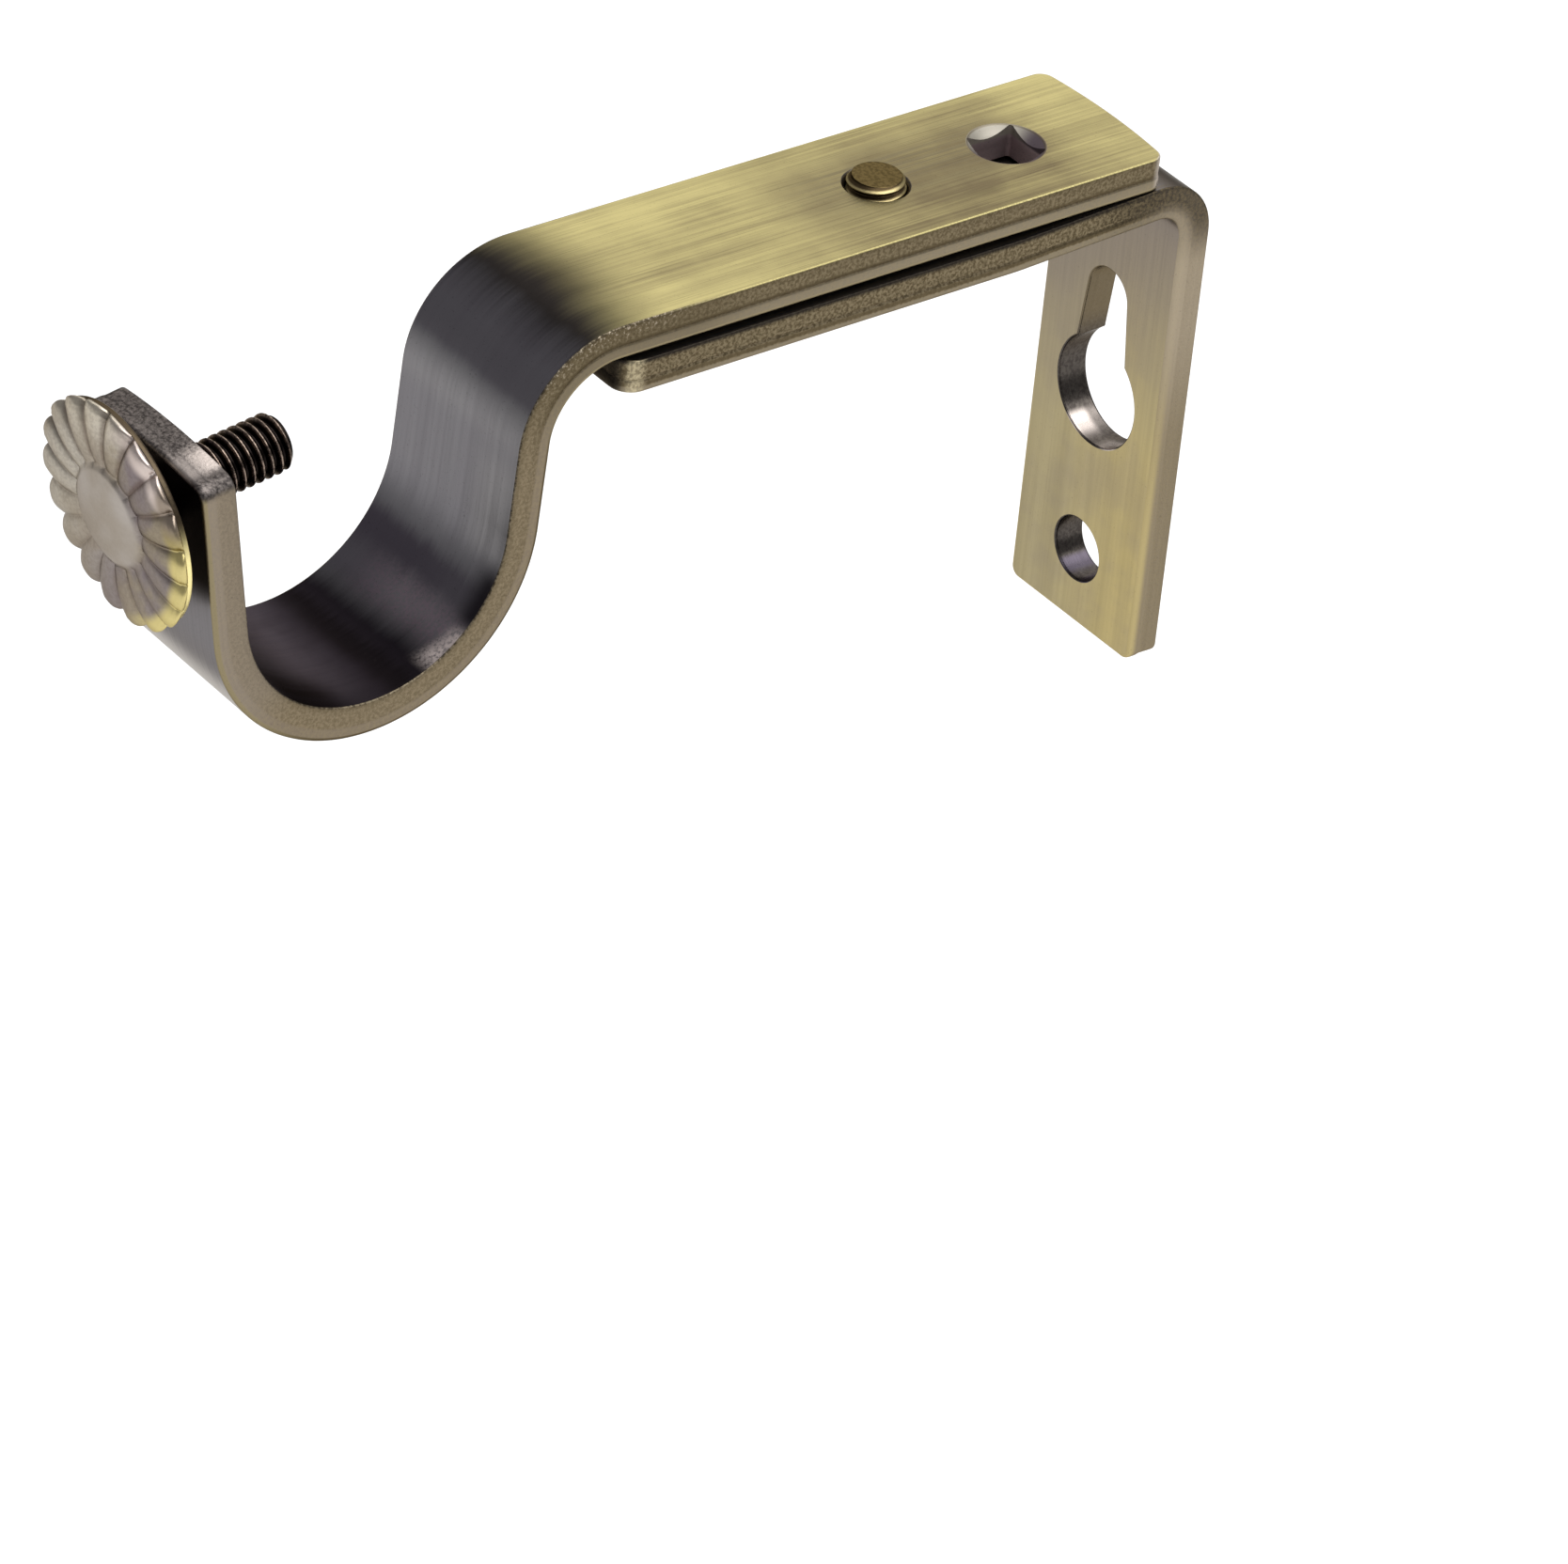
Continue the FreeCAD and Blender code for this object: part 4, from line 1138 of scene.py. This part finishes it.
def hook_edge(s, x, n, p):
    """The shear's torn part is brown and grainy on the arm and tan round the cup, with a dark line of painted
    shade along the step below it on the arm alone. The top edge is pale brass on the arm and, in the bend,
    black with tan specks: painted dark reflection, partly black plating, with painted glints. The arm's end
    has a painted highlight on its rounded corner. The lip's end is dark, with a painted highlight beside
    the thumbscrew. The sink and the walls of the square hole are violet-grey, and paler where the light
    falls on them: painted light and shade.
    """
    cup, toward_bend, grain = s.ramp(58.0, 70.0), s.ramp(42.0, 52.0), p["Grain"].ramp(0.36, 0.64)
    torn = cup.mix(grain.ramp(0.0, 1.0, 0.15, 0.75).mix(EDGE_DARK, EDGE_WORN),
                   grain.ramp(0.0, 1.0, 0.25, 0.80).mix(EDGE_BROWN, EDGE_PLATE))
    sheared = (grain * 0.5).mix(cup.mix(EDGE_TAN, EDGE_CUP), EDGE_WORN)
    line = n.band((-0.15, 0.10), (0.16, 0.40)) * (1.0 - cup)
    # top edge: pale brass on the arm; in the bend painted dark reflection, partly black plating, with tan
    # specks as painted glints
    rim = toward_bend.mix(BRASS_PALE, grain.mix(BLACK_PLATING_AND_SHADE, EDGE_TAN))
    roll = (cup * s.ramp(98.0, 106.0, 1.0, 0.2)).mix(RIM_PALE, EDGE_DARK)
    specks = s.band((47.0, 52.0), (59.0, 64.0)) * n.fall(-1.3, 0.1)
    # painted highlight on the lip's end beside the thumbscrew
    shine = (x + p["Grain"] * 2.0).band((3.2, 5.4), (6.6, 7.6)) * n.ramp(-0.9, 0.6, 1.0, 0.35)
    lip_end = layers(p["Grain"].ramp(0.30, 0.70).mix(LIP_END_DARK, LIP_END_GREY), (shine * 0.9, PAINTED_GLINT))
    side = layers(torn,
                  (n.fall(-1.4, -0.8, 0.35), EDGE_DARK),
                  (n.ramp(0.25, 0.45), sheared),
                  # painted shade in a dark line along the step
                  (line * 0.8, EDGE_DARK),
                  (s.band((40.0, 48.0), (60.0, 67.0)) * 0.35, EDGE_DARK),
                  (n.fall(-1.46, -1.36) * toward_bend.ramp(0.0, 1.0, 0.95, 0.7), rim),
                  (s.ramp(102.0, 108.0, 0.0, 0.45), EDGE_LIP),
                  # painted highlight on the rounded corner at the arm's end
                  (s.fall(CROWN_SAG + 0.4, CROWN_SAG + 1.2, 0.9), ARM_END_HIGHLIGHT),
                  (n.ramp(1.05, 1.22), roll),
                  (specks * p["Grain"].ramp(0.55, 0.64, 0.0, 0.7), EDGE_SPECK),
                  (s.ramp(hook_length - 1.6, hook_length - 1.0), lip_end))
    # painted light and shade on the square hole's lower wall, by side
    low = x.ramp(-2.6, -2.1).mix(SQUARE_SHADE, x.ramp(-2.0, 2.0).mix(SQUARE_HALF_LIT, SQUARE_LIT))
    sink = layers(x.fall(-1.8, 0.2).mix(SINK_SHADE, SINK_LIT),
                  (n.fall(-1.47, -1.38, 0.6), BRASS_DEEP), (n.ramp(-0.75, -0.45), low))
    at_sink = s.band((6.0, 7.0), (14.5, 15.5))
    wall = layers(p["Grain"].ramp(0.38, 0.62).mix(WALL_DARK, EDGE_BROWN), (at_sink, sink))
    return side, wall, at_sink * 0.30


def wall_faces(s, x, b, p):
    """The plate's front is warm brass that turns violet-grey up toward the bend and grey in it: painted
    shade under the bend. Its back and the top of the leg are duller.
    """
    broad, lines = b["Broad"], b["Lines"]
    wander = broad * 5.0 + lines * 2.5 - 3.75
    plate = layers(x.ramp(-6.0, 8.0).mix(PLATE_BRASS, PLATE_WARM),
                   (broad.fall(0.38, 0.62, 0.14), BRASS_DEEP),
                   (lines.ramp(0.40, 0.65, 0.0, 0.06), BRASS_DEEP),
                   (p["Clouds"].ramp(0.40, 0.65, 0.0, 0.30), VIOLET_BRASS_AND_SHADE),
                   (s.ramp(15.0, 24.0) * x.ramp(2.0, 7.0, 0.0, 0.55), PLATE_BRASS))
    # painted shade on the plate's front: violet-grey up toward the bend, then grey in it
    inner = layers(plate, ((s + wander - x * 0.35).ramp(17.0, 41.0), VIOLET_BRASS_AND_SHADE),
                   (s.ramp(39.0, 46.0), BEND_SHADE_GREY))
    leg = lines.ramp(0.35, 0.65).mix(GUNMETAL, VIOLET_BRASS_AND_SHADE)
    outer = layers(plate, ((s + wander).ramp(30.0, 41.0), WALL_DARK), (s.ramp(46.0, 50.0), leg))
    return outer, inner, s.ramp(40.0, 48.0, 0.13, 0.8)


def wall_edge(s, x, n, p):
    """The plate's edge is grainy tan. The bend's is dark at the outer face, and the leg's is dark there
    with painted shade from the arm above it. Both are brown where they tore, with a dark line of painted
    shade along the step on the leg and a smooth tan strip under that. The leg's tip has a painted
    highlight on its rounded corner and painted shadow on its end face. The keyhole's wall has a painted
    glint at the bottom, and the small hole's wall is painted a little lighter at its bottom.
    """
    grain = p["Grain"].ramp(0.36, 0.64)
    low = n - s.ramp(58.0, 68.0) * 0.18
    leg = layers(grain.ramp(0.0, 1.0, 0.05, 0.85).mix(EDGE_DARK, EDGE_WORN),
                 (low.ramp(0.62, 0.85), (grain * 0.4).mix(EDGE_TAN, EDGE_WORN)),
                 # painted shade in a dark line along the step
                 (low.band((0.20, 0.42), (0.58, 0.75)) * 0.85, EDGE_DARK),
                 # painted shade from the arm along the leg's top edge
                 (n.fall(-1.40, -0.95, 0.9), BLACK_PLATING_AND_SHADE))
    tip = wall_length - s
    bend = s.band((38.0, 43.0), (48.0, 56.0)) * n.ramp(-0.4, 1.2, 0.80, 0.30)
    side = layers((grain * 0.6).mix(EDGE_PLATE_TAN, EDGE_WORN),
                  (n.ramp(0.6, 1.3) * s.ramp(10.0, 35.0, 0.8, 0.1), PLATE_WARM),
                  (s.ramp(20.0, 34.0, 0.0, 0.55), EDGE_PLATE_HIGH),
                  (s.ramp(43.0, 52.0), leg),
                  (bend, grain.mix(BLACK_PLATING_AND_SHADE, EDGE_DARK)),
                  # painted highlight on the leg tip's rounded corner
                  (tip.band((0.5, 0.9), (1.3, 2.4)) * grain.ramp(0.0, 1.0, 0.35, 0.85), LEG_CORNER_HIGHLIGHT),
                  # painted shadow on the leg's end face
                  (tip.fall(0.1, 0.6, 0.8), BLACK_PLATING_AND_SHADE))
    wall = layers(p["Grain"].ramp(0.38, 0.62).mix(WALL_BLACK, WALL_DARK),
                  # painted glint at the bottom of the keyhole's wall
                  (s.band((17.4, 17.8), (18.2, 18.8)) * n.ramp(-0.7, 0.1, 0.2, 0.9), PAINTED_GLINT),
                  # painted light: the small hole's wall a little lighter at its bottom
                  (s.band((4.0, 4.2), (4.6, 5.0)), DEEP_GUNMETAL_AND_PAINTED_LIGHT),
                  (s.ramp(25.0, 29.0, 0.0, 0.8), EDGE_BROWN))
    return side, wall, 0.0


def finish_turned(shader, colour, grain, rough):
    """Finish of a turned piece, with a fine grain in its roughness and its bump."""
    finish(shader, colour, grain.ramp(0.3, 0.7, rough - 0.04, rough + 0.07), grain, 0.0001, 0.12)


def head_finish():
    """Satin plating of the petalled head: grey boss; petals in painted light and shade, tan toward the top
    and far side and violet-grey toward the near one, with a painted highlight near the top; brown in the
    grooves; rim tips on the near side yellow below and brown above with a painted glint high up; and a
    ring behind that is yellow below and brown above. The yellow is brass bared by wear with a painted
    reflection of the floor.
    """
    material, shader, around, (x, _, z), p = new_metal("satin_head_plating")
    at, clouds = use(PETAL_PLACES, around), p["Clouds"]
    near = x.ramp(-1.0, 4.0)
    upper = (z + clouds * 3.0).ramp(29.3, 33.6)
    # where the painted glint lies on the rim tips, high up
    crown = z.ramp(29.5, 31.5) * x.ramp(6.5, 7.5, 1.0, 0.3)
    tips = upper.mix(TIP_BRASS_AND_SHEEN, crown.mix(TIP_BROWN, TIP_PAINTED_GLINT))
    # painted light and shade: tan toward the top and far side, violet-grey toward the near side
    colour = layers((x - z * 0.35 + clouds * 4.0).ramp(-14.0, -5.0).mix(PETAL_LIT_TAN, PETAL_SHADED_GREY),
                    # painted highlight near the top
                    (z.ramp(32.0, 37.0) * x.fall(1.0, 4.0, 0.7), PETAL_HIGHLIGHT),
                    (clouds.ramp(0.42, 0.62, 0.0, 0.4), PETAL_BROWN),
                    (near * clouds.ramp(0.50, 0.58, 0.0, 0.24), PETAL_YELLOW),
                    (near * clouds.fall(0.40, 0.48, 0.45), PETAL_VIOLET),
                    (p["Grain"].ramp(0.40, 0.62, 0.0, 0.22), PETAL_GRAIN),
                    (at["Groove"] * z.ramp(24.0, 33.0, 0.22, 0.50), GROOVE_BROWN),
                    # rim tips: yellow below, brass bared by wear with a painted reflection of the floor; brown
                    # above with a painted glint
                    (at["Rim"] * x.ramp(0.0, 5.6), tips),
                    (at["Boss"], clouds.ramp(0.35, 0.65).mix(BOSS_PALE, BOSS_DEEP)),
                    # ring: yellow below, brass bared by wear with a painted reflection of the floor; brown
                    # above
                    (at["Ring"], upper.mix(RING_BRASS_AND_SHEEN, RING_BROWN)))
    finish_turned(shader, colour, p["Grain"], 0.33)
    return material


def thread_finish():
    """Dark plating of the thumbscrew's thread, lighter on its crests from wear and as a painted highlight."""
    material, shader, around, _, p = new_metal("dark_thread_plating")
    crest = use(THREAD_HEIGHT, around)["Crest"] * p["Grain"].ramp(0.38, 0.60, 0.30, 1.0)
    # crests lighter: wear, partly a painted highlight
    finish_turned(shader, crest.mix(THREAD_BLACK, THREAD_WEAR_AND_SHEEN), p["Grain"], 0.24)
    return material


def screw_finish():
    """Plating of the adjusting screw: deep brass on its flat end, brighter on the chamfer round it as a painted
    highlight.
    """
    material, shader, around, (_, _, z), p = new_metal("brass_screw_plating")
    end = p["Grain"].ramp(0.38, 0.62).mix(SCREW_END_DEEP, SCREW_END_BRASS)
    # crests and chamfer lighter: painted highlight
    colour = layers(use(THREAD_HEIGHT, around)["Crest"].mix(SCREW_VALLEY, SCREW_CREST_SHEEN),
                    (z.ramp(SCREW_TIP_Z - 0.05, SCREW_TIP_Z - 0.01), end),
                    (z.fall(SCREW_TIP_Z - 2.2, SCREW_TIP_Z - 1.2), SCREW_BELOW))
    finish_turned(shader, colour, p["Grain"], 0.36)
    return material


hook_strap.data.materials.append(strap_finish("antique_brass_hook", hook_faces, hook_edge))
wall_strap.data.materials.append(strap_finish("antique_brass_wall", wall_faces, wall_edge))
screw.data.materials.append(screw_finish())
thumb_shank.data.materials.append(thread_finish())
thumb_head.data.materials.append(head_finish())


# Floor, light and camera

PAPER_WHITE = (0.93, 0.93, 0.93, 1.0)
PAPER_ROUGH = 0.9
FLOOR_SIZE = 6.0
FLOOR_Z = -0.11
ROOM_GREY = (0.32, 0.32, 0.33, 1.0)
LIT_CENTRE = np.array([0.0, -0.05, 0.015])

CAMERA_AT = (0.44771112, -0.40962151, 0.37388497)
AZIMUTH, ELEVATION, ROLL = (math.radians(v) for v in (49.8817034, 33.9683725, 5.7794788))
IMAGE_WIDTH = 1668
FOCAL_PIXELS = 9045.613
SENSOR_WIDTH = 36.0


def facing(right, up, back, place):
    """Matrix that stands an object at the place with its own X, Y and Z along the three directions."""
    return Matrix([[right[i], up[i], back[i], place[i]] for i in range(3)] + [[0, 0, 0, 1]])


def soft_light(name, direction, distance, size, radiance):
    """Square soft light that faces the bracket. Its power is pi times its area times its radiance."""
    data = bpy.data.lights.new(name, "AREA")
    data.shape = "SQUARE"
    data.size = size
    data.energy = math.pi * size * size * radiance
    back = unit(np.array(direction, float))
    right = unit(np.cross((0.0, 0.0, 1.0), back))
    place = LIT_CENTRE + back * distance
    into_scene(name, data).matrix_world = facing(right, np.cross(back, right), back, place)


a = FLOOR_SIZE / 2.0
mesh = bpy.data.meshes.new("floor")
mesh.from_pydata([(-a, -a, FLOOR_Z), (a, -a, FLOOR_Z), (a, a, FLOOR_Z), (-a, a, FLOOR_Z)], [], [(0, 1, 2, 3)])
obj = into_scene("floor", mesh)
paper, shader = new_material("pale_paper")
shader.inputs["Base Color"].default_value = PAPER_WHITE
shader.inputs["Roughness"].default_value = PAPER_ROUGH
obj.data.materials.append(paper)

soft_light("back_softbox", (-0.634, 0.535, 0.62), 1.0, 1.0, 1.25)
soft_light("top_softbox", (0.35, 0.20, 1.0), 1.5, 1.8, 3.0)

world = bpy.data.worlds.new("studio")
bpy.context.scene.world = world
world.use_nodes = True
world.node_tree.nodes["Background"].inputs[0].default_value = ROOM_GREY
world.node_tree.nodes["Background"].inputs[1].default_value = 1.0

back = np.array([math.sin(AZIMUTH) * math.cos(ELEVATION), -math.cos(AZIMUTH) * math.cos(ELEVATION),
                 math.sin(ELEVATION)])
level = np.array([math.cos(AZIMUTH), math.sin(AZIMUTH), 0.0])
rise = np.cross(back, level)
right = math.cos(ROLL) * level + math.sin(ROLL) * rise
up = math.cos(ROLL) * rise - math.sin(ROLL) * level
lens = bpy.data.cameras.new("camera")
lens.sensor_width = SENSOR_WIDTH
lens.lens = FOCAL_PIXELS * SENSOR_WIDTH / IMAGE_WIDTH
lens.clip_start = 0.01
lens.clip_end = 20.0
camera = into_scene("camera", lens)
camera.matrix_world = facing(right, up, back, CAMERA_AT)
bpy.context.scene.camera = camera
bpy.context.scene.view_settings.view_transform = "Standard"
